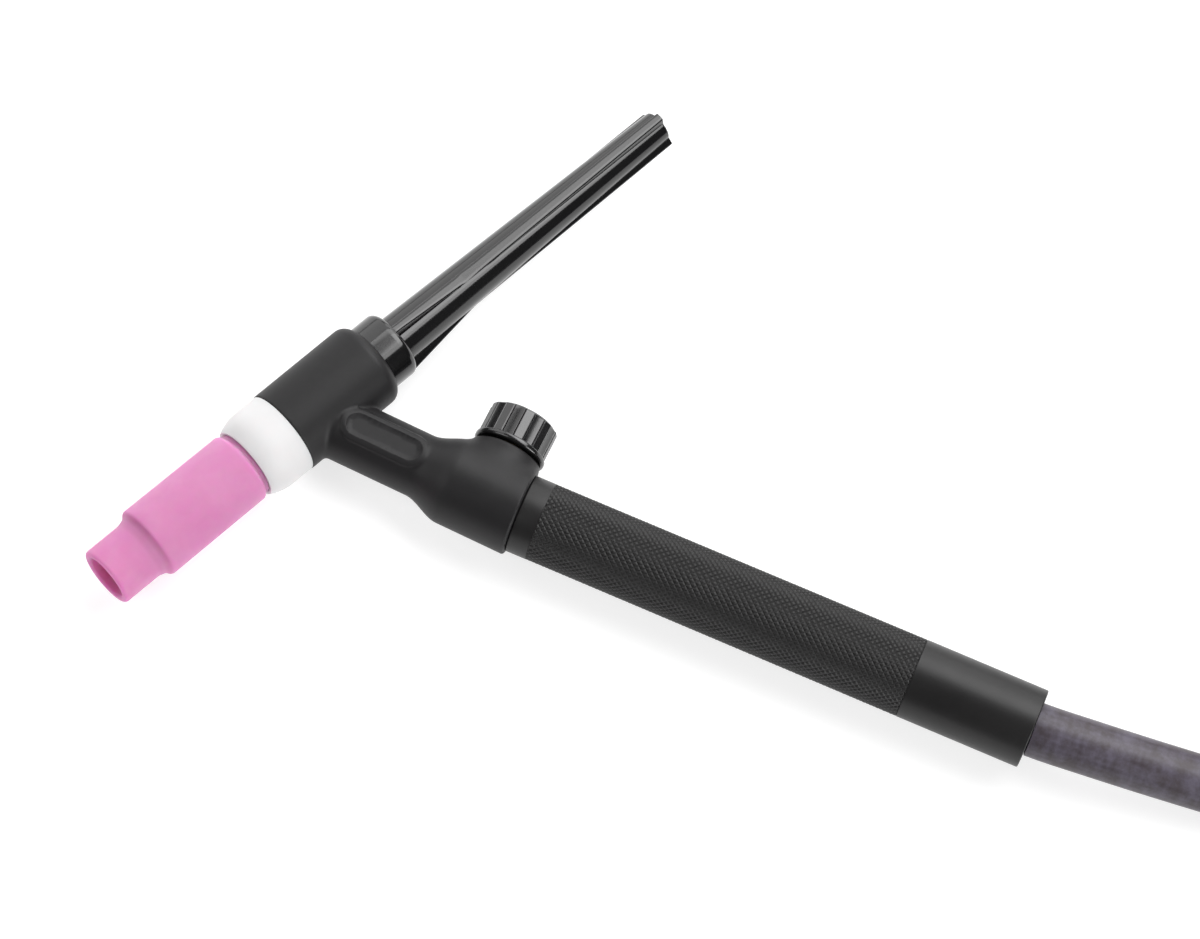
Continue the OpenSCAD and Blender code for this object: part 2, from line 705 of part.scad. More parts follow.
// Long back cap: screwed shank, collar, tapered stem with fins, closed far end.
module fin() {
    fin_top = collar_r - 0.35;
    fin_foot = cap_root_r - 1.5;
    rotate([90, 0, 0]) translate([0, 0, -fin_w / 2]) linear_extrude(fin_w) polygon([
        [fin_foot, collar_back - over], [fin_top, collar_back - over],
        [fin_top, collar_back], [fin_foot, collar_back + fin_len]]);
}
module back_cap() {
    color([0.09, 0.09, 0.1]) on_head() difference() {
        union() {
            rod(cap_shank_r, cap_nose, collar_front + over);
            rotate_extrude($fn = round_fn) polygon(concat(
                [[0, collar_front], [collar_r, collar_front]],
                arc([collar_r - collar_round, collar_back - collar_round], collar_round, 0, 90),
                [[cap_root_r, collar_back]],
                arc([cap_tip_r - cap_round, cap_end - cap_round], cap_round, 0, 90),
                [[0, cap_end]]));
            for (i = [0:fin_n - 1]) rotate(fin_turn + i * 360 / fin_n) fin();
        }
        rod(cap_bore_r, cap_nose + over, cap_end - cap_end_wall);
        rod(electrode_r + 4 * run_gap, cap_nose - over, cap_nose + 2 * over);
    }
}
module cap_o_ring() {
    color([0.08, 0.08, 0.08]) on_head() ring(seal_mid_r, seal_cord_r, core_end - seal_cord_r - run_gap);
}

// Handle tube: front ring, knurled band between the rings and a plain back length.
module handle() {
    color([0.14, 0.14, 0.15]) on_handle(face_gap) difference() {
        union() {
            rod(handle_r, 0, ring_len);
            cone(handle_r - knurl_deep, handle_back_r - knurl_deep, ring_len, handle_len - plain_len);
            rod(handle_back_r, handle_len - plain_len, handle_len - face_gap);
        }
        rod(handle_bore_r, -over, handle_len + over);
    }
}

// Fittings inside the handle, from the valve block's stub to the hose.
module hose_nut() {
    color([0.76, 0.62, 0.33]) on_handle() difference() {
        translate([0, 0, nut_start]) cylinder(d = nut_flats / cos(30), h = nut_len, $fn = 6);
        rod(stub_r + fix_gap, nut_start - over, nut_end - nut_wall);
        rod(nipple_r + fix_gap, 0, nut_end + over);
    }
}
module hose_nipple() {
    head_len = nut_end - nut_wall - nipple_head;
    barb_start = nut_end + 3;
    color([0.8, 0.68, 0.4]) on_handle() difference() {
        union() {
            rod(stub_r - 0.3, nipple_head, nipple_head + head_len - face_gap);
            rod(nipple_r, nipple_head, nipple_head + nipple_len);
            for (i = [0:barb_n - 1])
                cone(nipple_r, hose_bore_r - fix_gap, barb_start + i * barb_len,
                     barb_start + (i + 1) * barb_len);
        }
        rod(gas_r, 0, handle_len);
        rod(conductor_r + fix_gap, nipple_head + nipple_len - conductor_seat, handle_len);
    }
}
module hose_ferrule() {
    color([0.72, 0.72, 0.72]) on_handle(hose_start + over) difference() {
        rod(hose_r + fix_gap + ferrule_wall, 0, ferrule_len);
        rod(hose_r + fix_gap, -over, ferrule_len + over);
    }
}
module hose_lead_in() {
    color([0.36, 0.33, 0.4]) on_handle() difference() {
        rod(hose_r, hose_start, handle_len);
        rod(hose_bore_r, 0, handle_len + over);
    }
}
module conductor() {
    color([0.75, 0.42, 0.26]) on_handle()
        rod(conductor_r, nipple_head + nipple_len - conductor_seat + face_gap, handle_len);
}

// A tube along points: one ring at each point, square to the path, closed at both ends.
function unit(v) = v / norm(v);
function path_dir(p, i, dir0, dir1) = i == 0 ? dir0 : i == len(p) - 1 ? dir1 : unit(p[i + 1] - p[i - 1]);
function ring_at(at, dir, r, sides) = let (side = unit([dir[1], -dir[0], 0]), up = cross(dir, side))
    [for (k = [0:sides - 1]) let (a = 360 * (k + 0.5) / sides) at + r * (cos(a) * side + sin(a) * up)];
module tube(p, dir0, dir1, sides) {
    n = len(p);
    points = [for (i = [0:n - 1]) each ring_at(p[i], path_dir(p, i, dir0, dir1), hose_r, sides)];
    walls = [for (i = [0:n - 2], k = [0:sides - 1]) let (a = i * sides + k, b = i * sides + (k + 1) % sides)
        each [[a, a + sides, b], [b, a + sides, b + sides]]];
    caps = [for (k = [1:sides - 2]) each [[0, k, k + 1],
        [(n - 1) * sides, (n - 1) * sides + k + 1, (n - 1) * sides + k]]];
    polyhedron(points = points, faces = concat(walls, caps), convexity = 10);
}
ahead = [1, 0, 0];
module hose_run() {
    color([0.36, 0.33, 0.4]) tube(run_points, ahead, ahead, 12);
}
module hose_coil() {
    color([0.36, 0.33, 0.4]) tube(coil_points, ahead, -ahead, 6);
}
module hose_tail() {
    color([0.36, 0.33, 0.4]) tube(tail_points, -ahead, -ahead, 12);
}

// Plug on the hose's far end: rubber sleeve, brass pin with its bayonet lug, gas seal.
module plug_sleeve() {
    sleeve_round = 1.5;
    swell_at = sleeve_len * 0.45;
    swell_r = sleeve_r - 0.6;
    grip_r = 1.2;
    grip_from = sleeve_len / 2;
    color([0.12, 0.12, 0.13]) on_plug() difference() {
        rotate_extrude($fn = round_fn) polygon(concat(
            [[0, 0], [sleeve_back_r - over, 0], [sleeve_back_r, over], [swell_r, swell_at]],
            arc([sleeve_r - sleeve_round, sleeve_len - sleeve_round], sleeve_round, 0, 90),
            [[0, sleeve_len]]));
        for (i = [0:grip_n - 1]) ring(sleeve_r + grip_r / 3, grip_r, grip_from + i * grip_pitch);
        rod(pin_root_r + fix_gap, sleeve_len - pin_root_len, sleeve_len + over);
    }
}
pin_seal_mid = pin_r - pin_seal_r + 0.3;
pin_seal_at = sleeve_len + pin_len - 3;
module lug() {
    translate([0, -lug_w / 2, sleeve_len + lug_at]) cube([pin_r + lug_h + over, lug_w, lug_len]);
}
module plug_pin() {
    color([0.76, 0.62, 0.33]) on_plug() difference() {
        union() {
            rod(pin_root_r, sleeve_len - pin_root_len + face_gap, sleeve_len + over);
            rod(pin_r, sleeve_len, sleeve_len + pin_len);
            intersection() {
                lug();
                rod(pin_r + lug_h, sleeve_len, sleeve_len + pin_len);
            }
        }
        rod(pin_bore_r, sleeve_len - pin_root_len / 2, sleeve_len + pin_len + over);
        ring(pin_seal_mid, pin_seal_r + run_gap, pin_seal_at);
    }
}
module plug_o_ring() {
    color([0.08, 0.08, 0.08]) on_plug() ring(pin_seal_mid, pin_seal_r, pin_seal_at);
}

// Two straps round the coil's bundle, each a closed band square to the turns.
module strap(turn) {
    radii = [for (t = [turn:1:coil_turns]) coil_r(t)];
    low_r = min(radii) - hose_r - strap_gap;
    high_r = max(radii) + hose_r + face_gap * 3;
    low_z = -hose_r - face_gap;
    high_z = coil_pitch + hose_r + face_gap;
    corner = 5;
    translate(coil_mid) rotate([0, 0, turn * 360 - 90]) rotate([90, 0, 0]) translate([0, 0, -strap_w / 2])
        linear_extrude(strap_w) difference() {
            rounded([low_r, low_z], [high_r, high_z], corner, strap_t);
            rounded([low_r, low_z], [high_r, high_z], corner, 0);
        }
}
module rounded(low, high, corner, grow) {
    size = high - low;
    offset_low = low - [grow, grow];
    full = size + 2 * [grow, grow];
    r = corner + grow;
    translate(offset_low) {
        translate([r, 0]) square([full[0] - 2 * r, full[1]]);
        translate([0, r]) square([full[0], full[1] - 2 * r]);
        for (x = [r, full[0] - r], y = [r, full[1] - r]) translate([x, y]) circle(r = r, $fn = 32);
    }
}
module coil_straps() {
    color([0.15, 0.15, 0.17]) for (turn = [0.125, 0.625]) strap(turn);
}

torch_body();
head_core();
neck_tube();
valve_block();
gland_nut();
valve_stem();
stem_o_ring();
valve_knob();
collet_body();
collet();
electrode();
gasket();
nozzle();
back_cap();
cap_o_ring();
handle();
hose_nut();
hose_nipple();
hose_ferrule();
hose_lead_in();
conductor();
hose_run();
hose_coil();
hose_tail();
plug_sleeve();
plug_pin();
plug_o_ring();
coil_straps();
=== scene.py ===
"""Looks of a gas-cooled TIG torch with a hand valve, built round its packed construction.

Lengths are in millimetres in every class below and become metres when a mesh is made.
"""

from __future__ import annotations

import json
import logging
import math
from dataclasses import dataclass
from enum import Enum
from typing import Callable, Sequence

import bmesh
import bpy
import numpy as np
from mathutils import Matrix, Vector

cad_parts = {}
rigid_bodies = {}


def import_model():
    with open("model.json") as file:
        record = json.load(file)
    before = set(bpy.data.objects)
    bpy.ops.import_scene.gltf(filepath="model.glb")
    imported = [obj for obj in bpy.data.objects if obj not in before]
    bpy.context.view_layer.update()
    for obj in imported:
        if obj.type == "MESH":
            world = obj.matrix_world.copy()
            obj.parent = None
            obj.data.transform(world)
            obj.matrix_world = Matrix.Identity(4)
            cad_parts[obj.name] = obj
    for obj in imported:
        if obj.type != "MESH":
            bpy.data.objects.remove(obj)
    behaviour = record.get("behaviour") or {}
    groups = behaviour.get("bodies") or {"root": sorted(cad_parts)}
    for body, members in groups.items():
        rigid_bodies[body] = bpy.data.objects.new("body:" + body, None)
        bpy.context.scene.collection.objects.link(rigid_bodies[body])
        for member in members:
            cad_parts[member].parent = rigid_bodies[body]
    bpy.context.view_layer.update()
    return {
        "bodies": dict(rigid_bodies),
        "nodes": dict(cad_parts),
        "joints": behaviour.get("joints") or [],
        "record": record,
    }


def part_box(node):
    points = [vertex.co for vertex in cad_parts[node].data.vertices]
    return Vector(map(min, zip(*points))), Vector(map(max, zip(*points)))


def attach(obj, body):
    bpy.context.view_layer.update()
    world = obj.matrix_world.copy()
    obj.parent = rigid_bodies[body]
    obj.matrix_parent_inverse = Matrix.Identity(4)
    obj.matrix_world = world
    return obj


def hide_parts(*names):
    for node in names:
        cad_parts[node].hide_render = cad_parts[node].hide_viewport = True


LOG = logging.getLogger("torch")
MM = 0.001
TINY = 1e-6
TURN = 2 * math.pi
WELD_M = 1e-7
Triple = tuple[float, float, float]


# --- Places ---


def unit(v: np.ndarray) -> np.ndarray:
    """Scales each vector to length one."""
    return v / np.linalg.norm(v, axis=-1, keepdims=True)


@dataclass(frozen=True)
class Axis:
    """A straight line in space, not upright, with two directions square to it."""

    origin: np.ndarray
    ahead: np.ndarray
    side: np.ndarray

    @classmethod
    def through(cls, origin: Sequence[float], ahead: Sequence[float]) -> Axis:
        """Makes an axis whose side direction is level.

        Args:
            origin: A point on the axis.
            ahead: The direction of the axis, of any length.

        Returns:
            The axis, with side, up and ahead a right-handed set.
        """
        line = unit(np.asarray(ahead, float))
        return cls(np.asarray(origin, float), line, unit(np.array([line[1], -line[0], 0.0])))

    @property
    def up(self) -> np.ndarray:
        """Gives the direction square to both side and ahead."""
        return np.cross(self.ahead, self.side)

    def at(self, x: np.ndarray, y: np.ndarray, s: np.ndarray) -> np.ndarray:
        """Places points: origin plus x sides, y ups and s aheads.

        Args:
            x: Distance along side.
            y: Distance along up.
            s: Distance along the axis.

        Returns:
            The points in the row frame.
        """
        x, y, s = np.broadcast_arrays(x, y, s)
        return self.origin + x[..., None] * self.side + y[..., None] * self.up + s[..., None] * self.ahead

    def local(self, points: np.ndarray) -> tuple[np.ndarray, np.ndarray]:
        """Reads points back.

        Args:
            points: Points in the row frame.

        Returns:
            Their distances along side and up, as rows of two, and their distances along the axis.
        """
        off = points - self.origin
        return off @ np.stack([self.side, self.up], axis=1), off @ self.ahead


@dataclass(frozen=True)
class Layout:
    """Where the torch's axes lie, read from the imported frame."""

    head: Axis
    neck: Axis
    knob: Axis
    handle: Axis
    exit: np.ndarray

    @classmethod
    def read(cls, frame: dict) -> Layout:
        """Reads the axes from two joints, the handle's mount and the handle's box.


        Returns:
            The layout.
        """
        rows = {row["name"]: row for row in [*frame["joints"], *frame["record"]["mounts"]]}
        cap, valve, sleeve = rows["cap_turn"], rows["valve_turn"], rows["handle_sleeve"]
        corner, knob, rear = (np.array(row["pos_m"]) / MM for row in (cap, valve, sleeve))
        start, end = (np.array([face.x / MM, rear[1], rear[2]]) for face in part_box("handle"))
        return cls(Axis.through(corner, cap["axis"]), Axis.through(corner, knob - corner),
                   Axis.through(knob, valve["axis"]), Axis.through(start, sleeve["axis"]), end)


# --- Surfaces ---


def ease(t: np.ndarray) -> np.ndarray:
    """Runs from 0 to 1 with level ends: three t squared less two t cubed."""
    t = np.clip(t, 0.0, 1.0)
    return t * t * (3.0 - 2.0 * t)


def rounded(corners: Sequence[Triple], steps: int = 6) -> np.ndarray:
    """Rounds an outline's corners, each by its own radius.

    An arc of radius r touches the corner's two sides at r over the tangent of half its angle.

    Args:
        corners: Points as (radius, place along the axis, rounding).
        steps: Straight pieces in each arc.

    Returns:
        The outline as rows of (radius, place).
    """
    points = np.array(corners, float)[:, :2]
    out: list[np.ndarray] = []
    for i, (here, (_, _, r)) in enumerate(zip(points, corners)):
        if r <= 0 or i in (0, len(corners) - 1):
            out.append(here[None])
            continue
        back, on = unit(points[i - 1] - here), unit(points[i + 1] - here)
        half = math.acos(np.clip(back @ on, -1, 1)) / 2
        centre = here + unit(back + on) * r / math.sin(half)
        first, second = (here + way * r / math.tan(half) - centre for way in (back, on))
        sweep = math.atan2(first[0] * second[1] - first[1] * second[0], first @ second)
        turns = sweep * np.linspace(0, 1, steps + 1)[:, None]
        out.append(centre + np.cos(turns) * first + np.sin(turns) * np.array([-first[1], first[0]]))
    return np.concatenate(out)


def resample(outline: np.ndarray, step: float) -> np.ndarray:
    """Adds points to the long straight stretches of an outline.

    Args:
        outline: Rows of (radius, place).
        step: The longest stretch that stays whole.

    Returns:
        The denser outline.
    """
    out = []
    for a, b in zip(outline[:-1], outline[1:]):
        count = max(1, math.ceil(np.linalg.norm(b - a) / step))
        out.append(a + (b - a) * np.arange(count)[:, None] / count)
    return np.concatenate([*out, outline[-1:]])


def grid_faces(rows: int, cols: int, wrap: bool) -> np.ndarray:
    """Lists the quads between rows of points, where each row is a closed ring.

    Args:
        rows: Rows of points.
        cols: Points in a row.
        wrap: Whether the last row joins the first.

    Returns:
        The quads as rows of four point numbers.
    """
    i = np.arange(rows if wrap else rows - 1)[:, None] * cols
    j = np.arange(cols)[None, :]
    up, on = (i + cols) % (rows * cols), (j + 1) % cols
    return np.stack([i + j, i + on, up + on, up + j], axis=-1).reshape(-1, 4)


def show(name: str, mesh: bpy.types.ID) -> bpy.types.Object:
    """Puts an object at the scene's origin.

    Args:
        name: Its name.
        mesh: Its mesh, lamp or camera data.

    Returns:
        The object.
    """
    piece = bpy.data.objects.new(name, mesh)
    bpy.context.scene.collection.objects.link(piece)
    return piece


def make_mesh(
    name: str, points: np.ndarray, faces: np.ndarray | list[list[int]], crease: float = 32.0,
    uv: np.ndarray | None = None,
) -> bpy.types.Object:
    """Makes an object at the origin, with points that coincide welded and faces turned outwards.

    Args:
        name: The piece's name.
        points: Its points.
        faces: Quads or triangles.
        crease: Edges sharper than this, in degrees, stay sharp in the shading.
        uv: A pair for each corner of each face, or None.

    Returns:
        The new object.
    """
    mesh = bpy.data.meshes.new(name)
    mesh.from_pydata((points.reshape(-1, 3) * MM).tolist(), [], np.asarray(faces).tolist()
                     if isinstance(faces, np.ndarray) else faces)
    if uv is not None:
        mesh.uv_layers.new(name="run").data.foreach_set("uv", uv.astype(np.float32).ravel())
    work = bmesh.new()
    work.from_mesh(mesh)
    bmesh.ops.remove_doubles(work, verts=work.verts, dist=WELD_M)
    bmesh.ops.recalc_face_normals(work, faces=work.faces)
    work.to_mesh(mesh)
    work.free()
    finish_mesh(mesh, crease)
    return show(name, mesh)


def finish_mesh(mesh: bpy.types.Mesh, crease: float) -> None:
    """Shades a mesh smoothly, with edges above the crease angle kept sharp.

    Args:
        mesh: The mesh.
        crease: The angle, in degrees.
    """
    mesh.polygons.foreach_set("use_smooth", np.ones(len(mesh.polygons), bool))
    mesh.set_sharp_from_angle(angle=math.radians(crease))
    mesh.update()


def lathe(
    name: str, axis: Axis, outline: np.ndarray, sides: int = 128, closed: bool = False,
    radius_at: Callable[..., np.ndarray] | None = None, crease: float = 32.0,
    split: Callable[..., list[list[int]]] | None = None,
) -> bpy.types.Object:
    """Turns an outline about an axis: a point (r, s) becomes r cos a, r sin a, s for every angle a.

    Args:
        name: The piece's name.
        axis: The axis of the turning.
        outline: Rows of (radius, place along the axis).
        sides: Steps round the axis.
        closed: Whether the outline's end joins its start.
        radius_at: A rule that gives the radius from radius, place and angle, or None.
        crease: The crease angle, in degrees.
        split: A rule that gives the faces from quads, outline and sides, or None.

    Returns:
        The new object.
    """
    r, s = outline[:, :1], outline[:, 1:]
    angle = np.arange(sides)[None, :] * TURN / sides
    if radius_at is not None:
        r = radius_at(*np.broadcast_arrays(r, s, angle))
    faces = grid_faces(len(outline), sides, closed)
    if split is not None:
        faces = split(faces, outline, sides)
    return make_mesh(name, axis.at(r * np.cos(angle), r * np.sin(angle), s), faces, crease)


def tube_points(path: np.ndarray, radius: float, sides: int) -> tuple[np.ndarray, np.ndarray]:
    """Carries a circle along a path: each ring is square to the path, with its side direction level.

    Args:
        path: Points of the path.
        radius: The tube's radius.
        sides: Points in a ring.

    Returns:
        The ring points, and the length run along the path at each ring.
    """
    run = unit(np.gradient(path, axis=0))
    side = unit(np.stack([run[:, 1], -run[:, 0], 0 * run[:, 0]], axis=1))
    a = (np.arange(sides) / sides * TURN)[None, :, None]
    rings = path[:, None] + radius * (np.cos(a) * side[:, None] + np.sin(a) * np.cross(run, side)[:, None])
    return rings, np.concatenate([[0], np.cumsum(np.linalg.norm(np.diff(path, axis=0), axis=1))])


def join(pieces: Sequence[bpy.types.Object]) -> bpy.types.Object:
    """Puts the meshes of several objects into the first and removes the others.

    Args:
        pieces: The objects, all at the origin.

    Returns:
        The first object.
    """
    work = bmesh.new()
    for piece in pieces:
        work.from_mesh(piece.data)
    work.to_mesh(pieces[0].data)
    work.free()
    for piece in pieces[1:]:
        bpy.data.objects.remove(piece)
    return pieces[0]


def baked(piece: bpy.types.Object, name: str) -> bpy.types.Mesh:
    """Gives a piece's mesh with its modifiers applied.

    Args:
        piece: The object.
        name: The new mesh's name.

    Returns:
        The new mesh.
    """
    view = bpy.context.evaluated_depsgraph_get()
    view.update()
    mesh = bpy.data.meshes.new_from_object(piece.evaluated_get(view))
    mesh.name = name
    return mesh


# --- Node groups: effects that several finishes share ---


def add(tree: bpy.types.NodeTree, kind: str, inputs: dict, **settings: object) -> bpy.types.Node:
    """Adds a node, sets its properties, then sets or links its inputs.

    Args:
        tree: The nodes that it joins.
        kind: Its type, without the prefix.
        inputs: For each input a value, or the socket that feeds it.
        **settings: Its own properties.

    Returns:
        The node.
    """
    node = tree.nodes.new("ShaderNode" + kind)
    for name, value in settings.items():
        setattr(node, name, value)
    for name, value in inputs.items():
        if isinstance(value, bpy.types.NodeSocket):
            tree.links.new(value, node.inputs[name])
        else:
            node.inputs[name].default_value = value
    return node


def maths(tree: bpy.types.NodeTree, operation: str, *values: object) -> bpy.types.NodeSocket:
    """Adds a maths node on numbers or sockets and gives its result."""
    return add(tree, "Math", dict(enumerate(values)), operation=operation).outputs[0]


class Effect(Enum):
    """The shared effects, each a node group made once."""

    MOTTLE = "mottle"
    GRAIN = "grain"
    SCUFF = "scuff"
    STREAK = "streak"


class Effects:
    """Builds each shared effect's node group once and places it in materials."""

    GREY = (0.5, 0.5, 0.5, 1)
    NOISE_MIDDLE = 0.5
    CLOUD_SPAN = (0.5, 0.85)
    SPECK_SPAN = (0.66, 0.76)

    def __init__(self) -> None:
        """Starts with no group built."""
        self._made: dict[Effect, bpy.types.NodeTree] = {}

    def put(self, tree: bpy.types.NodeTree, effect: Effect, inputs: dict) -> bpy.types.NodeOutputs:
        """Places an effect in a material, building its group the first time.

        Args:
            tree: The material's nodes.
            effect: Which effect.
            inputs: A value or a socket for each of its inputs.

        Returns:
            The effect's outputs.
        """
        if effect not in self._made:
            group = bpy.data.node_groups.new(effect.value, "ShaderNodeTree")
            getattr(self, f"_{effect.value}")(group)
            self._made[effect] = group
        return add(tree, "Group", inputs, node_tree=self._made[effect]).outputs

    @staticmethod
    def _open(tree: bpy.types.NodeTree, **inputs: object) -> bpy.types.NodeOutputs:
        """Adds a group's inputs, after a vector input named Place.

        Args:
            tree: The group.
            **inputs: Starting values; a tuple is a colour.

        Returns:
            The sockets that carry the inputs inside the group.
        """
        tree.interface.new_socket(name="Place", in_out="INPUT", socket_type="NodeSocketVector")
        for name, value in inputs.items():
            kind = "NodeSocketColor" if isinstance(value, tuple) else "NodeSocketFloat"
            tree.interface.new_socket(name=name, in_out="INPUT", socket_type=kind).default_value = value
        return tree.nodes.new("NodeGroupInput").outputs

    @staticmethod
    def _close(tree: bpy.types.NodeTree, **outputs: bpy.types.NodeSocket) -> None:
        """Adds a group's outputs and links each to its socket.

        Args:
            tree: The group.
            **outputs: The sockets; the one named Color is a colour.
        """
        for name in outputs:
            kind = "NodeSocketColor" if name == "Color" else "NodeSocketFloat"
            tree.interface.new_socket(name=name, in_out="OUTPUT", socket_type=kind)
        end = tree.nodes.new("NodeGroupOutput")
        for name, socket in outputs.items():
            tree.links.new(socket, end.inputs[name])

    @staticmethod
    def _noise(
        tree: bpy.types.NodeTree, given: bpy.types.NodeOutputs, factor: float, detail: float
    ) -> bpy.types.NodeSocket:
        """Adds a noise at the group's Place.

        Args:
            tree: The group.
            given: Its inputs.
            factor: What its Scale is multiplied by.
            detail: The noise's octaves.

        Returns:
            The noise's value.
        """
        scale = maths(tree, "MULTIPLY", given["Scale"], factor)
        inputs = {"Vector": given["Place"], "Scale": scale, "Detail": detail}
        return add(tree, "TexNoise", inputs).outputs["Fac"]

    def _around(
        self, tree: bpy.types.NodeTree, given: bpy.types.NodeOutputs, noise: bpy.types.NodeSocket
    ) -> bpy.types.NodeSocket:
        """Gives the group's Roughness plus its Spread times how far the noise is from its middle."""
        off = maths(tree, "SUBTRACT", noise, self.NOISE_MIDDLE)
        return maths(tree, "MULTIPLY_ADD", off, given["Spread"], given["Roughness"])

    @staticmethod
    def _laid(
        tree: bpy.types.NodeTree, noise: bpy.types.NodeSocket, span: tuple[float, float],
        amount: bpy.types.NodeSocket, under: bpy.types.NodeSocket, over: bpy.types.NodeSocket,
    ) -> tuple[bpy.types.NodeSocket, bpy.types.NodeSocket]:
        """Lays one colour over another where a noise is high.

        Args:
            tree: The group.
            noise: The noise.
            span: Where the upper colour starts and where it is full.
            amount: How much of it is laid at the most.
            under: The lower colour.
            over: The upper colour.

        Returns:
            The colour and the share of the upper one.
        """
        ramp = add(tree, "MapRange", {"Value": noise, "From Min": span[0], "From Max": span[1]})
        share = maths(tree, "MULTIPLY", ramp.outputs["Result"], amount)
        mix = add(tree, "Mix", {"Factor": share, "A": under, "B": over}, data_type="RGBA")
        return mix.outputs["Result"], share

    def _mottle(self, tree: bpy.types.NodeTree, fine_scale: float = 6.0, fine_share: float = 0.35) -> None:
        """Colour that drifts between two tones with two sizes of cloud.

        Args:
            tree: The group.
            fine_scale: How many times finer the small clouds are.
            fine_share: How much they count beside the large ones.
        """
        given = self._open(tree, Base=self.GREY, Tint=self.GREY, Scale=100.0, Amount=0.5)
        wide = self._noise(tree, given, 1.0, 3.0)
        both = maths(tree, "MULTIPLY_ADD", self._noise(tree, given, fine_scale, 4.0), fine_share, wide)
        color, mask = self._laid(tree, both, self.CLOUD_SPAN, given["Amount"], given["Base"], given["Tint"])
        self._close(tree, Color=color, Mask=mask)

    def _grain(self, tree: bpy.types.NodeTree, wide_scale: float = 0.08) -> None:
        """Fine moulded grain: a height for a bump, and a roughness that drifts more widely.

        Args:
            tree: The group.
            wide_scale: The scale of the roughness's drift, as a share of the grain's.
        """
        given = self._open(tree, Scale=1500.0, Roughness=0.5, Spread=0.1)
        rough = self._around(tree, given, self._noise(tree, given, wide_scale, 2.0))
        self._close(tree, Height=self._noise(tree, given, 1.0, 2.0), Roughness=rough)

    def _scuff(self, tree: bpy.types.NodeTree) -> None:
        """Sparse light specks over a colour.

        Args:
            tree: The group.
        """
        given = self._open(tree, Color=self.GREY, Mark=self.GREY, Scale=300.0, Amount=0.2)
        specks = self._noise(tree, given, 1.0, 5.0)
        color, _ = self._laid(tree, specks, self.SPECK_SPAN, given["Amount"], given["Color"], given["Mark"])
        self._close(tree, Color=color)

    def _streak(self, tree: bpy.types.NodeTree) -> None:
        """Lines drawn out along Place's Z: roughness and height for moulded surfaces.

        Args:
            tree: The group.
        """
        given = self._open(tree, Scale=400.0, Stretch=0.05, Roughness=0.2, Spread=0.1)
        parts = add(tree, "SeparateXYZ", {0: given["Place"]}).outputs
        drawn = maths(tree, "MULTIPLY", parts["Z"], given["Stretch"])
        place = add(tree, "CombineXYZ", {"X": parts["X"], "Y": parts["Y"], "Z": drawn}).outputs[0]
        inputs = {"Vector": place, "Scale": given["Scale"], "Detail": 3.0}
        noise = add(tree, "TexNoise", inputs).outputs["Fac"]
        self._close(tree, Height=noise, Roughness=self._around(tree, given, noise))


EFFECTS = Effects()


# --- Finishes ---


def bare_material(name: str) -> bpy.types.Material:
    """Makes a material without nodes.

    Args:
        name: Its name.

    Returns:
        The material.
    """
    material = bpy.data.materials.new(name)
    material.use_nodes = True
    material.node_tree.nodes.clear()
    return material


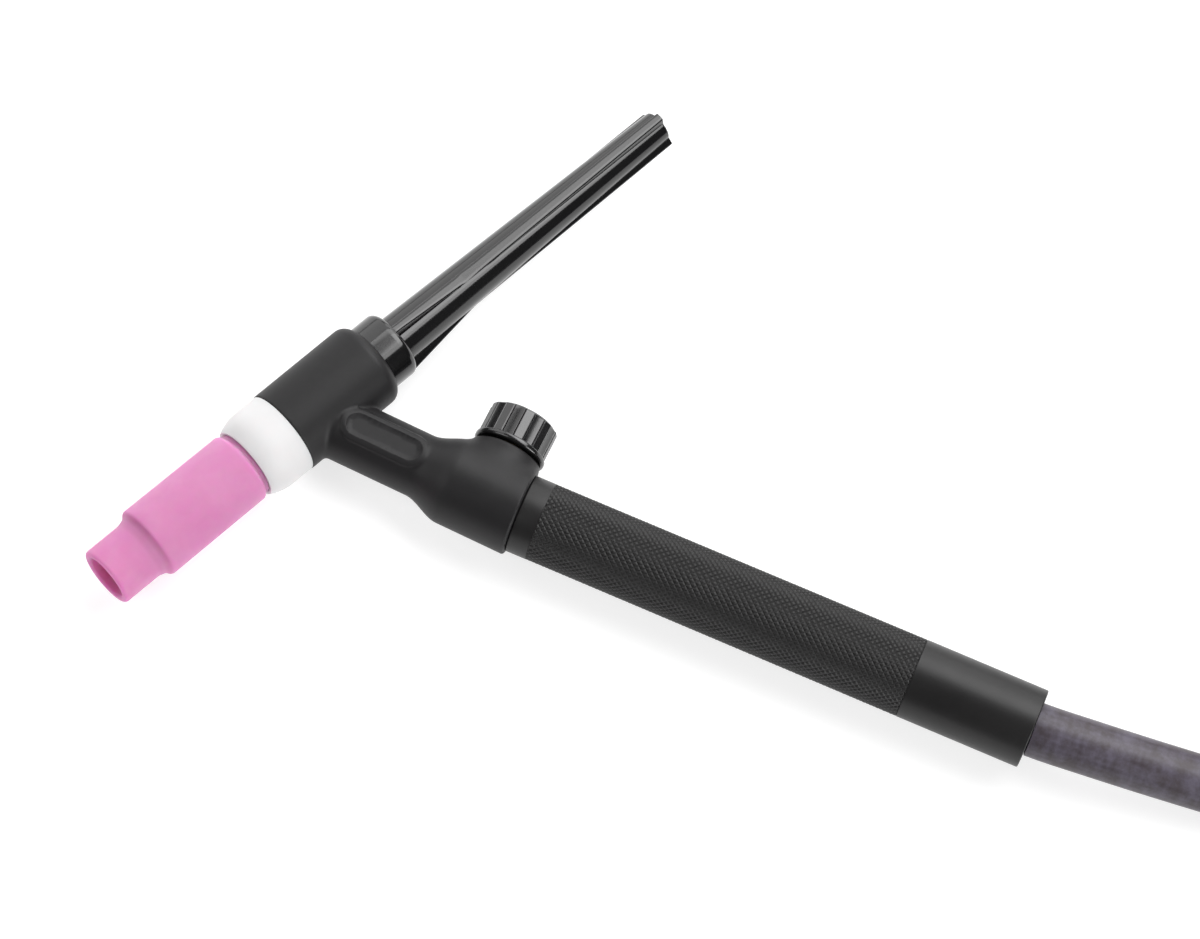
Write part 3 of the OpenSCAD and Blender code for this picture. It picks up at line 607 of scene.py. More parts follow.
@dataclass(frozen=True)
class Finish:
    """A surface finish: base colour with clouds and specks, grain or streaks, and a few constants.

    Its pairs are scale and amount for clouds and scuffs, middle and spread for rough, and scale and
    height for grain. Scales are per metre.
    """

    name: str
    color: Triple
    tint: Triple
    clouds: tuple[float, float]
    rough: tuple[float, float]
    grain: tuple[float, float]
    scuffs: tuple[float, float] | None = None
    scuff_color: Triple = (0.06, 0.06, 0.06)
    metallic: float = 0.0
    coat: float = 0.0
    coat_roughness: float = 0.05
    specular: float = 0.5
    subsurface: float = 0.0
    subsurface_mm: float = 3.0
    subsurface_reach: Triple = (1.0, 0.8, 0.8)
    sheen: float = 0.0
    stretch: float | None = None
    axis: Axis | None = None
    from_uv: bool = False

    def build(self) -> bpy.types.Material:
        """Makes the material, with its shared effects placed in it.

        Returns:
            The material.
        """
        material = bare_material(self.name)
        tree = material.node_tree
        place = self._place(tree)
        relief = {"Place": place, "Scale": self.grain[0], "Roughness": self.rough[0], "Spread": self.rough[1]}
        if self.stretch is None:
            grain = EFFECTS.put(tree, Effect.GRAIN, relief)
        else:
            grain = EFFECTS.put(tree, Effect.STREAK, {**relief, "Stretch": self.stretch})
        bump = add(tree, "Bump", {"Height": grain["Height"], "Distance": self.grain[1] * MM})
        surface = add(tree, "BsdfPrincipled", {
            "Base Color": self._color(tree, place), "Roughness": grain["Roughness"],
            "Normal": bump.outputs["Normal"], "Metallic": self.metallic, "Coat Weight": self.coat,
            "Coat Roughness": self.coat_roughness, "Specular IOR Level": self.specular,
            "Subsurface Weight": self.subsurface, "Subsurface Radius": self.subsurface_reach,
            "Subsurface Scale": self.subsurface_mm * MM, "Sheen Weight": self.sheen,
        })
        add(tree, "OutputMaterial", {"Surface": surface.outputs[0]})
        return material

    def _place(self, tree: bpy.types.NodeTree) -> bpy.types.NodeSocket:
        """Gives the socket that says where on the piece a point is.

        Args:
            tree: The material's nodes.

        Returns:
            A vector socket, turned so that its Z runs along the finish's axis.
        """
        where = add(tree, "TexCoord", {}).outputs
        if self.from_uv or self.axis is None:
            return where["UV" if self.from_uv else "Object"]
        turn = Matrix([self.axis.side, self.axis.up, self.axis.ahead]).to_euler()
        inputs = {"Vector": where["Object"], "Rotation": turn}
        return add(tree, "Mapping", inputs, vector_type="POINT").outputs[0]

    def _color(self, tree: bpy.types.NodeTree, place: bpy.types.NodeSocket) -> bpy.types.NodeSocket:
        """Lays clouds and then specks over the base colour.

        Args:
            tree: The material's nodes.
            place: The socket that says where a point is.

        Returns:
            The colour socket.
        """
        color = EFFECTS.put(tree, Effect.MOTTLE, {
            "Place": place, "Base": (*self.color, 1), "Tint": (*self.tint, 1),
            "Scale": self.clouds[0], "Amount": self.clouds[1]})["Color"]
        if self.scuffs is None:
            return color
        return EFFECTS.put(tree, Effect.SCUFF, {
            "Place": place, "Color": color, "Mark": (*self.scuff_color, 1),
            "Scale": self.scuffs[0], "Amount": self.scuffs[1]})["Color"]


@dataclass(frozen=True)
class HoseFinish(Finish):
    """A soft clear cover over a braid, whose crossing threads show through in places."""

    threads_round: float = 13.0
    thread_pitch: float = 4.4
    braid_color: Triple = (0.03, 0.022, 0.026)
    braid_clouds: tuple[float, float] = (182.0, 0.6)

    def _color(self, tree: bpy.types.NodeTree, place: bpy.types.NodeSocket) -> bpy.types.NodeSocket:
        """Lays the braid's dark threads, faded by clouds, over the cover's colour.

        Args:
            tree: The material's nodes.
            place: The UV socket: round the hose from 0 to 1, and along it in metres.

        Returns:
            The colour socket.
        """
        solid = add(tree, "TexCoord", {}).outputs["Object"]
        clouds = EFFECTS.put(tree, Effect.MOTTLE, {
            "Place": solid, "Scale": self.braid_clouds[0], "Amount": self.braid_clouds[1]})["Mask"]
        share = maths(tree, "MULTIPLY", clouds, self._weave(tree, place))
        mix = {"Factor": share, "A": super()._color(tree, solid), "B": (*self.braid_color, 1)}
        return add(tree, "Mix", mix, data_type="RGBA").outputs["Result"]

    def _weave(self, tree: bpy.types.NodeTree, place: bpy.types.NodeSocket) -> bpy.types.NodeSocket:
        """Crosses two sets of threads: the product of two sines whose phases run with and against u.

        Args:
            tree: The material's nodes.
            place: The UV socket.

        Returns:
            A socket from 0 between the threads to 1 on them.
        """
        parts = add(tree, "SeparateXYZ", {0: place}).outputs
        sines = []
        for turn in (TURN, -TURN):
            around = maths(tree, "MULTIPLY", parts["X"], turn * self.threads_round)
            phase = maths(tree, "MULTIPLY_ADD", parts["Y"], TURN / (self.thread_pitch * MM), around)
            sines.append(maths(tree, "SINE", phase))
        spread = {"Value": maths(tree, "MULTIPLY", *sines), "From Min": -1.0, "From Max": 1.0}
        return add(tree, "MapRange", spread).outputs["Result"]


class Paints:
    """Every finish of the torch, built once."""

    def __init__(self, layout: Layout) -> None:
        """Builds the materials.

        Args:
            layout: The torch's axes, for finishes whose streaks follow one.
        """
        finishes = {
            "body_rubber": Finish(
                "matt_black_rubber", (0.008, 0.0075, 0.0082), (0.0115, 0.011, 0.0118), clouds=(70, 0.7),
                rough=(0.5, 0.12), grain=(900, 0.012), scuffs=(260, 0.12), scuff_color=(0.022, 0.022, 0.023),
                specular=0.3),
            "handle_black": Finish(
                "matt_black_handle", (0.009, 0.0086, 0.0088), (0.0125, 0.012, 0.0122), clouds=(60, 0.6),
                rough=(0.4, 0.1), grain=(1400, 0.008), scuffs=(240, 0.1), scuff_color=(0.026, 0.026, 0.026),
                specular=0.32),
            "nozzle_ceramic": Finish(
                "pink_alumina", (0.53, 0.2, 0.38), (0.588, 0.265, 0.44), clouds=(45, 0.7), rough=(0.55, 0.08),
                grain=(2200, 0.006), specular=0.15, subsurface=0.8, subsurface_mm=6.0,
                subsurface_reach=(1.0, 0.2, 0.7)),
            "gasket_white": Finish(
                "white_ptfe", (0.645, 0.637, 0.64), (0.67, 0.662, 0.665), clouds=(60, 0.6),
                rough=(0.42, 0.06), grain=(1600, 0.004), specular=0.35, subsurface=0.5, subsurface_mm=4.0),
            "cap_black": Finish(
                "glossy_black_phenolic", (0.004, 0.004, 0.0043), (0.007, 0.0068, 0.007), clouds=(90, 0.5),
                rough=(0.14, 0.08), grain=(500, 0.0012), coat=0.3, coat_roughness=0.06, stretch=0.06,
                axis=layout.head),
            "knob_black": Finish(
                "satin_black_nylon", (0.006, 0.006, 0.0063), (0.011, 0.011, 0.0115), clouds=(200, 0.5),
                rough=(0.2, 0.06), grain=(2400, 0.004), scuffs=(500, 0.1), specular=0.75),
            "hose_braid": HoseFinish(
                "braided_hose", (0.09, 0.08, 0.106), (0.05, 0.04, 0.047), clouds=(260, 1.0),
                rough=(0.4, 0.14), grain=(1200, 0.01), specular=0.3, coat=0.05, coat_roughness=0.3,
                from_uv=True),
            "brass": Finish(
                "machined_brass", (0.62, 0.42, 0.17), (0.52, 0.34, 0.14), clouds=(300, 0.5),
                rough=(0.3, 0.15), grain=(900, 0.003), metallic=1.0),
            "copper": Finish(
                "machined_copper", (0.66, 0.32, 0.18), (0.52, 0.23, 0.13), clouds=(260, 0.6),
                rough=(0.32, 0.15), grain=(900, 0.003), metallic=1.0),
            "tungsten": Finish(
                "ground_tungsten", (0.33, 0.34, 0.36), (0.26, 0.27, 0.29), clouds=(300, 0.5),
                rough=(0.38, 0.1), grain=(1500, 0.003), metallic=1.0),
            "steel": Finish(
                "plated_steel", (0.55, 0.55, 0.55), (0.46, 0.46, 0.47), clouds=(300, 0.5), rough=(0.3, 0.1),
                grain=(1200, 0.002), metallic=1.0),
            "seal": Finish(
                "seal_rubber", (0.012, 0.012, 0.012), (0.02, 0.02, 0.02), clouds=(300, 0.5),
                rough=(0.42, 0.1), grain=(1500, 0.004)),
            "sleeve_rubber": Finish(
                "sleeve_rubber", (0.014, 0.014, 0.015), (0.026, 0.026, 0.028), clouds=(80, 0.7),
                rough=(0.55, 0.1), grain=(900, 0.012), scuffs=(260, 0.12), scuff_color=(0.06, 0.06, 0.062)),
            "strap_web": Finish(
                "woven_strap", (0.016, 0.016, 0.02), (0.034, 0.034, 0.04), clouds=(500, 0.9),
                rough=(0.85, 0.1), grain=(2600, 0.06), sheen=0.25),
        }
        self._made = {slot: finish.build() for slot, finish in finishes.items()}

    def put(self, piece: bpy.types.Object, slot: str) -> None:
        """Dresses a piece, or a CAD node, in a slot's finish.

        Args:
            piece: The object.
            slot: The record's material slot.
        """
        if not piece.material_slots:
            piece.data.materials.append(None)
        for place in piece.material_slots:
            place.material = self._made[slot]


@dataclass
class Workshop:
    """What every class needs: the frame, the torch's axes and the finishes."""

    frame: dict
    layout: Layout
    paints: Paints

    def fit(self, piece: bpy.types.Object, slot: str, body: str, *nodes: str) -> bpy.types.Object:
        """Dresses a finished piece, lets it stand for CAD nodes and rides it on its body.

        Args:
            piece: The object.
            slot: The record's material slot.
            body: The body that carries it.
            *nodes: The CAD nodes that it replaces.

        Returns:
            The piece.
        """
        self.paints.put(piece, slot)
        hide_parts(*nodes)
        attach(piece, body)
        LOG.info("%s: %d faces, on %s", piece.name, len(piece.data.polygons), body)
        return piece


# --- The torch's pieces ---


def capped(r: np.ndarray, s: np.ndarray, radius: float, low: float, high: float, edge: float) -> np.ndarray:
    """Signed distance to a cylinder from low to high with rounded edges, from radius and place."""
    return rounded_both(r - radius, np.abs(s - (low + high) / 2) - (high - low) / 2, edge)


def rounded_both(a: np.ndarray, b: np.ndarray, edge: float) -> np.ndarray:
    """Keeps what is inside both fields, with the edge between them rounded by a radius."""
    out = np.hypot(np.maximum(a + edge, 0.0), np.maximum(b + edge, 0.0))
    return np.minimum(np.maximum(a, b) + edge, 0.0) + out - edge


def smooth_least(a: np.ndarray, b: np.ndarray, reach: float) -> np.ndarray:
    """The lesser of two fields, with a fillet of about the reach where they cross."""
    h = np.clip(0.5 + 0.5 * (b - a) / reach, 0.0, 1.0)
    return b + (a - b) * h - reach * h * (1.0 - h)


@dataclass
class BodyMoulding:
    """The rubber over the head, neck and valve: one smooth skin blended from simple solids."""

    head_r: float = 11.6
    head_front: float = 8.4
    head_back: float = 22.0
    head_round: float = 3.2
    front_edge: float = 0.25
    far: float = 99.0
    neck_r: float = 8.35
    valve_r: float = 11.4
    swell_from: float = 31.5
    swell_to: float = 41.5
    seam: float = 59.9
    seam_gap: float = 0.1
    seam_edge: float = 0.7
    boss_r: float = 9.0
    boss_top: float = 12.7
    boss_edge: float = 0.6
    pad_half: float = 4.6
    pad_top: float = 8.75
    pad_edge: float = 0.3
    pocket_half: float = 3.05
    pocket_len: float = 20.7
    pocket_deep: float = 0.9
    pocket_at: float = 21.2
    pocket_edge: float = 0.3
    pocket_blend: float = 0.18
    neck_blend: float = 0.9
    boss_blend: float = 3.0
    pad_blend: float = 0.35
    collar_r: float = 9.5
    core_end: float = 20.4
    core_r: float = 8.85
    bonnet_r: float = 5.45
    bonnet_from: float = 6.0
    voxel: float = 0.42
    settle_rounds: int = 8
    settle_step: float = 0.02
    settle_most: float = 0.4
    least_slope: float = 0.2

    def build(self, shop: Workshop) -> None:
        """Makes the skin and cuts the openings that show when the cap, knob or nozzle moves.

        Args:
            shop: The frame, axes and finishes.
        """
        rough = self._rough(shop.layout)
        skin = rough.modifiers.new("skin", "REMESH")
        skin.mode, skin.voxel_size, skin.adaptivity = "VOXEL", self.voxel * MM, 0.0
        mesh = baked(rough, "body_moulding")
        self._settle(mesh, shop.layout)
        bpy.data.objects.remove(rough)
        piece = show("body_moulding", mesh)
        for cutter in self._cutters(shop.layout):
            cut = piece.modifiers.new("cut", "BOOLEAN")
            cut.operation, cut.solver, cut.object = "DIFFERENCE", "EXACT", cutter
            mesh = baked(piece, piece.name)
            piece.modifiers.clear()
            piece.data = mesh
            bpy.data.objects.remove(cutter)
        finish_mesh(piece.data, 40.0)
        shop.fit(piece, "body_rubber", "torch", "torch_body")

    def _rough(self, lay: Layout) -> bpy.types.Object:
        """Joins closed rough solids as a start for the remesh.

        Args:
            lay: The torch's axes.

        Returns:
            The solids, as one object.
        """
        sides = 96
        head = lathe("rough", lay.head, rounded([
            (0, -self.head_front, 0), (self.head_r, -self.head_front, 0),
            (self.head_r, self.head_back, self.head_round), (0, self.head_back, 0)]), sides)
        neck = lathe("rough_neck", lay.neck, np.array([
            (0, 0), (self.neck_r, 0), (self.neck_r, self.swell_from), (self.valve_r, self.swell_to),
            (self.valve_r, self.seam), (0, self.seam)]), sides)
        boss = lathe("rough_boss", lay.knob, np.array([
            (0, 0), (self.boss_r, 0), (self.boss_r, self.boss_top), (0, self.boss_top)]), sides)
        half = self.pocket_len / 2 + self.pad_half - self.pocket_half
        along = self.pocket_at + half * np.array([-1, 1, 1, -1])
        across = self.pad_half * np.array([-1, -1, 1, 1])
        faces = np.concatenate([np.arange(8).reshape(2, 4), grid_faces(2, 4, False)])
        pads = [make_mesh("rough_pad", lay.neck.at(across, np.array([[0.0], [top]]), along), faces)
                for top in (self.pad_top, -self.pad_top)]
        return join([head, neck, boss, *pads])

    def _field(self, lay: Layout, p: np.ndarray) -> np.ndarray:
        """Signed distance to the skin, negative inside.

        Each solid of turning gives the distance to its outline; the solids join by a smooth least
        value, which lays a fillet in each corner, and the pocket is taken out the same way.

        Args:
            lay: The torch's axes.
            p: Points.

        Returns:
            The field at each point.
        """
        axes = (lay.head, lay.neck, lay.knob)
        (head_xy, hs), (neck_xy, ns), (knob_xy, ks) = (axis.local(p) for axis in axes)
        head_d, neck_d, knob_d = (np.hypot(xy[:, 0], xy[:, 1]) for xy in (head_xy, neck_xy, knob_xy))
        head = capped(head_d, hs, self.head_r, -self.far, self.head_back, self.head_round)
        head = rounded_both(head, -self.head_front - hs, self.front_edge)
        rise, run = self.valve_r - self.neck_r, self.swell_to - self.swell_from
        swell = ease((ns - self.swell_from) / run)
        slope = 6 * rise / run * swell * (1 - swell)
        neck = np.maximum((neck_d - self.neck_r - rise * swell) / np.sqrt(1 + slope**2), -ns)
        boss = capped(knob_d, ks, self.boss_r, 0.0, self.boss_top, self.boss_edge)
        valve = smooth_least(neck, boss, self.boss_blend)
        half = self.pocket_len / 2 - self.pocket_half
        stadium = np.hypot(np.maximum(np.abs(ns - self.pocket_at) - half, 0.0), neck_xy[:, 0])
        pad = rounded_both(stadium - self.pad_half, neck_d - self.pad_top, self.pad_edge)
        skin = smooth_least(smooth_least(head, valve, self.neck_blend), pad, self.pad_blend)
        floor = self.pad_top - self.pocket_deep
        pocket = rounded_both(stadium - self.pocket_half, floor - np.abs(neck_xy[:, 1]), self.pocket_edge)
        skin = -smooth_least(-skin, pocket, self.pocket_blend)
        return rounded_both(skin, lay.handle.local(p)[1] + self.seam_gap, self.seam_edge)

    def _settle(self, mesh: bpy.types.Mesh, lay: Layout) -> None:
        """Slides every point along the field's slope until it lies on the skin.

        Args:
            mesh: The even skin, changed in place.
            lay: The torch's axes.
        """
        flat = np.empty(len(mesh.vertices) * 3)
        mesh.vertices.foreach_get("co", flat)
        p = flat.reshape(-1, 3) / MM
        for _ in range(self.settle_rounds):
            value = self._field(lay, p)
            slope = np.stack([
                (self._field(lay, p + e) - self._field(lay, p - e)) / (2 * self.settle_step)
                for e in self.settle_step * np.eye(3)], axis=1)
            size = np.maximum((slope**2).sum(axis=1), self.least_slope)
            p = p - np.clip(value / size, -self.settle_most, self.settle_most)[:, None] * slope
        mesh.vertices.foreach_set("co", (p * MM).ravel())
        mesh.update()

    def _cutters(self, lay: Layout) -> list[bpy.types.Object]:
        """Makes the solids that cut the core's bore with the cap's recess, and the bonnet's bore.

        Args:
            lay: The torch's axes.

        Returns:
            The two solids, each 1 mm past the skin.
        """
        front, back, top = -self.head_front - 1, self.head_back + 1, self.boss_top + 1
        core = lathe("cut_core", lay.head, np.array([
            (0, front), (self.core_r, front), (self.core_r, self.core_end), (self.collar_r, self.core_end),
            (self.collar_r, back), (0, back)]))
        bonnet = lathe("cut_bonnet", lay.knob, np.array([
            (0, self.bonnet_from), (self.bonnet_r, self.bonnet_from), (self.bonnet_r, top), (0, top)]), 64)
        return [core, bonnet]


@dataclass
class Nozzle:
    """The stepped ceramic nozzle and the white gasket behind it."""

    tip: float = -67.6
    back: float = -19.0
    root: float = -22.4
    shoulder: float = 0.25
    front_r: float = 8.05
    step_low: float = 11.0
    step_mid: float = 13.1
    step_mid_r: float = 8.65
    step_high: float = 14.15
    thick_r: float = 9.95
    thick_back_r: float = 9.8
    neck_r: float = 8.9
    mouth_r: float = 5.95
    screw_r: float = 6.6
    screw_from: float = -34.0
    gasket_r: float = 11.5
    gasket_tip: float = -21.0
    gasket_back: float = -8.4
    bend_at: float = -14.0
    gasket_fall: float = 1.65
    gasket_power: float = 2.3
    seat_r: float = 8.95
    seat_floor: float = -18.9
    nose_r: float = 7.55
    nose_floor: float = -11.1
    hub_r: float = 6.95
    sides: int = 160

    def build(self, shop: Workshop) -> None:
        """Makes both pieces.

        Args:
            shop: The frame, axes and finishes.
        """
        head = shop.layout.head
        cup = resample(rounded([
            (self.mouth_r, self.screw_from, 0), (self.mouth_r, self.tip, 0.8), (self.front_r, self.tip, 0.9),
            (self.front_r, self.tip + self.step_low, 4.0), (self.step_mid_r, self.tip + self.step_mid, 2.4),
            (self.thick_r, self.tip + self.step_high, 1.1), (self.thick_back_r, self.root, 1.2),
            (self.neck_r, self.root + self.shoulder, 0.15), (self.neck_r, self.back, 0.3),
            (self.screw_r, self.back, 0.3), (self.screw_r, self.screw_from, 0.3),
            (self.mouth_r, self.screw_from, 0)], 8), 3.0)
        nozzle = lathe("nozzle_cup", head, cup[:-1], self.sides, closed=True)
        shop.fit(nozzle, "nozzle_ceramic", "nozzle", "nozzle")
        inside = rounded([
            (self.hub_r, self.nose_floor, 0), (self.hub_r, self.seat_floor, 0.2),
            (self.seat_r, self.seat_floor, 0.1), (self.seat_r, self.gasket_tip, 0.3),
            (self._shield_r(self.gasket_tip), self.gasket_tip, 0)], 8)
        out_s = np.linspace(self.gasket_tip, self.gasket_back, 40)[1:-1]
        behind = rounded([
            (self._shield_r(out_s[-1]), out_s[-1], 0), (self.gasket_r, self.gasket_back, 0.15),
            (self.nose_r, self.gasket_back, 0.2), (self.nose_r, self.nose_floor, 0.1),
            (self.hub_r, self.nose_floor, 0)], 8)
        side = np.stack([self._shield_r(out_s), out_s], axis=1)
        shield = np.concatenate([inside, side, behind[1:-1]])
        gasket = lathe("heat_shield", head, shield, self.sides, closed=True)
        shop.fit(gasket, "gasket_white", "torch", "gasket")

    def _shield_r(self, s: np.ndarray | float) -> np.ndarray | float:
        """Gives the gasket's radius: it falls towards the front with a power of the way past the bend."""
        past = np.clip((self.bend_at - s) / (self.bend_at - self.gasket_tip), 0.0, 1.0)
        return self.gasket_r - self.gasket_fall * past**self.gasket_power


@dataclass
class BackCap:
    """The long back cap: screwed shank, collar, tapered stem and three fins."""

    shank_r: float = 5.9
    nose: float = 12.2
    collar_front: float = 20.6
    collar_back: float = 29.5
    collar_r: float = 9.3
    collar_edge: float = 1.7
    root_r: float = 6.5
    tip_r: float = 4.3
    tip: float = 121.7
    tip_edge: float = 0.6
    sunk: float = 1.4
    bowl_in: float = 0.6
    bowl_deep: float = 3.0
    fins: int = 3
    fin_half: float = 1.6
    fin_thin: float = 0.66
    fin_top: float = 8.95
    fin_end: float = 52.5
    fin_turn: float = -61.0
    fin_soft: float = 0.35
    wall_at: tuple[float, ...] = (0.25, 0.55, 0.8, 0.93)
    hole_r: float = 1.6
    hole_deep: float = 1.5
    thread_pitch: float = 1.27
    thread_deep: float = 0.4
    thread_lead: float = 0.6
    thread_tail: float = 1.2

    def build(self, shop: Workshop) -> None:
        """Makes the cap: the shank and collar, and the stem that starts inside the collar.

        Args:
            shop: The frame, axes and finishes.
        """
        stem = self._stem(shop.layout.head)
        inner = self.root_r - self.bowl_in
        front = resample(rounded([
            (self.hole_r, self.nose + self.hole_deep, 0), (self.hole_r, self.nose, 0.2),
            (self.shank_r, self.nose, 0.5), (self.shank_r, self.collar_front, 0),
            (self.collar_r, self.collar_front, 0.3), (self.collar_r, self.collar_back, self.collar_edge),
            (inner, self.collar_back + 0.02, 0), (inner, self.collar_back - self.bowl_deep, 0),
            (self.hole_r, self.nose + self.hole_deep, 0)], 6), 0.6)
        collar = lathe("cap_moulding", shop.layout.head, front[:-1], 192, closed=True, radius_at=self._thread)
        join([collar, stem])
        finish_mesh(collar.data, 32.0)
        shop.fit(collar, "cap_black", "cap", "back_cap")

    def _thread(self, r: np.ndarray, s: np.ndarray, angle: np.ndarray) -> np.ndarray:
        """Cuts the shank's thread: the radius drops with the cosine of place less angle.

        Args:
            r: The outline's radius.
            s: The place along the axis.
            angle: The angle round it.

        Returns:
            The threaded radius on the shank, and r elsewhere.
        """
        on_shank = (s > self.nose + self.thread_lead) & (s < self.collar_front - self.thread_tail)
        on_shank &= np.abs(r - self.shank_r) < 0.05
        wave = 0.5 - 0.5 * np.cos(TURN * s / self.thread_pitch - angle)
        return np.where(on_shank, r - self.thread_deep * wave, r)

    def _stem(self, head: Axis) -> bpy.types.Object:
        """Makes the stem with its fins as a grid that is warped so that the fins' walls lie on it.

        Round the axis each third has an arc of the stem, a wall, the fin's top and a wall. A fin's
        height falls in a straight line to the stem's radius at the fin's end, and its walls lean in.

        Args:
            head: The cap's axis.

        Returns:
            The stem, closed at both ends.
        """
        start, edge, past = self.collar_back - self.sunk, self.tip_edge, self.fin_end + 3
        s = np.unique(np.concatenate([
            np.linspace(start, self.collar_back + 1, 6), np.linspace(self.collar_back + 1, past, 60),
            np.linspace(past, self.tip - edge, 60)]))
        drop = (self.tip_r - self.root_r) * (s - self.collar_back)
        taper = self.root_r + drop / (self.tip - self.collar_back)
        bend = np.linspace(0, math.pi / 2, 7)[1:]
        stem = np.concatenate([taper, taper[-1] - edge + edge * np.cos(bend)])[:, None]
        along = np.concatenate([s, self.tip - edge + edge * np.sin(bend)])[:, None]
        foot = np.arcsin(np.clip(self.fin_half / stem, 0, 0.9))
        foot_x, foot_y = stem * np.cos(foot), stem * np.sin(foot)
        fall = np.clip((along - self.collar_back) / (self.fin_end - self.collar_back), 0, 1)
        low = np.interp(self.fin_end, s, taper)
        tall = np.maximum(self.fin_top + (low - self.fin_top) * fall, foot_x)
        thin = 1 - (1 - self.fin_thin) * np.clip((tall - foot_x) / (self.fin_top - self.root_r), 0, 1)
        soft = self.fin_soft * np.clip((tall - foot_x) / self.fin_soft, 0, 1)

        third = TURN / self.fins
        arc_a = -third / 2 + (third / 2 - foot) * np.linspace(0, 1, 33)
        arc = np.stack([stem * np.cos(arc_a), stem * np.sin(arc_a)], axis=-1)
        t = np.array(self.wall_at)
        wall_x = foot_x + (tall - soft - foot_x) * t / t[-1]
        wall = np.stack([wall_x, -foot_y * (1 + (thin - 1) * t)], axis=-1)
        t = np.linspace(-1, 1, 13)
        across = thin * foot_y * t
        crown = tall - soft * (1 - np.sqrt(np.clip(1 - np.abs(t) ** 3, 0, 1)))
        top = np.stack([np.maximum(crown, np.sqrt(np.maximum(stem**2 - across**2, 0))), across], axis=-1)
        mirror = np.array([1.0, -1.0])
        sector = np.concatenate([arc, wall, top, wall[:, ::-1] * mirror, (arc * mirror)[:, :0:-1]], axis=1)

        parts = []
        for turn in math.radians(self.fin_turn) + math.pi / 2 + third * np.arange(self.fins):
            cos, sin = math.cos(turn), math.sin(turn)
            parts.append(sector @ np.array([[cos, sin], [-sin, cos]]))
        ring = np.concatenate(parts, axis=1)
        centre = np.zeros((1, ring.shape[1], 2))
        ring = np.concatenate([centre, ring, centre])
        along = np.concatenate([[[start]], along, [[self.tip]]])
        points = head.at(ring[..., 0], ring[..., 1], along)
        return make_mesh("cap_stem", points, grid_faces(*ring.shape[:2], False))


@dataclass
class ValveKnob:
    """The ribbed knob of the gas valve: flange, flat ribs and lower facets with grooves between."""

    low: float = 13.3
    flange_r: float = 9.6
    flange_h: float = 1.5
    rib_r: float = 9.3
    ribs: int = 10
    rib_turn: float = 26.5
    flat_half: float = 8.2
    facet_drop: float = 0.2
    facet_hollow: float = 0.12
    groove_half: float = 1.6
    groove_deep: float = 0.3
    bevel_from: float = 22.7
    bevel_power: float = 0.7
    top: float = 23.3
    top_r: float = 8.3
    dish: float = 0.7
    lip: float = 1.2
    dish_in: float = 2.2
    bore_r: float = 2.45
    bore_top: float = 20.1
    sides: int = 720

    def build(self, shop: Workshop) -> None:
        """Makes the knob.

        Args:
            shop: The frame, axes and finishes.
        """
        flange, floor = self.low + self.flange_h, self.top - self.dish
        outline = rounded([
            (0, self.bore_top, 0), (self.bore_r, self.bore_top, 0), (self.bore_r, self.low, 0.2),
            (self.flange_r, self.low, 0.7), (self.flange_r, flange, 0.6), (self.rib_r, flange + 0.1, 0),
            (self.rib_r, self.bevel_from, 0.3), (self.top_r, self.top, 0.3),
            (self.top_r - self.lip, self.top - 0.1, 0.4), (self.top_r - self.dish_in, floor, 0.5),
            (0, floor, 0)], 5)
        knob = lathe("knob_moulding", shop.layout.knob, resample(outline, 0.8), self.sides,
                     radius_at=self._flutes, crease=14.0)
        shop.fit(knob, "knob_black", "valve", "valve_knob")

    def _flutes(self, r: np.ndarray, s: np.ndarray, angle: np.ndarray) -> np.ndarray:
        """Cuts the ribs and facets, by the angle from the nearest rib's middle.

        A rib is flat: its radius is that of a straight chord through its two edges. The facet between
        two ribs is a chord too, a little lower and slightly hollow, and a V-groove parts the two.

        Args:
            r: The outline's radius.
            s: The place along the axis.
            angle: The angle round it.

        Returns:
            The ribbed radius on the knob's side, fading to round on the bevel, and r elsewhere.
        """
        step, half = TURN / self.ribs, math.radians(self.flat_half)
        off = np.abs((angle - math.radians(self.rib_turn) + step / 2) % step - step / 2)
        flat = self.rib_r * math.cos(half) / np.cos(off)
        into, wide = step / 2 - off, step / 2 - half
        facet = (self.rib_r - self.facet_drop) * math.cos(wide) / np.cos(into)
        facet = facet - self.facet_hollow * (1 - (into / wide) ** 2)
        groove = np.clip(1 - np.abs(off - half) / math.radians(self.groove_half), 0, 1)
        fluted = np.where(off <= half, flat, facet) - self.groove_deep * groove
        on_side = (s > self.low + self.flange_h + 0.05) & (r > self.top_r * 0.98)
        fade = np.clip((self.top - s) / (self.top - self.bevel_from), 0, 1) ** self.bevel_power
        return np.where(on_side, r * (1 + (fluted / self.rib_r - 1) * fade), r)


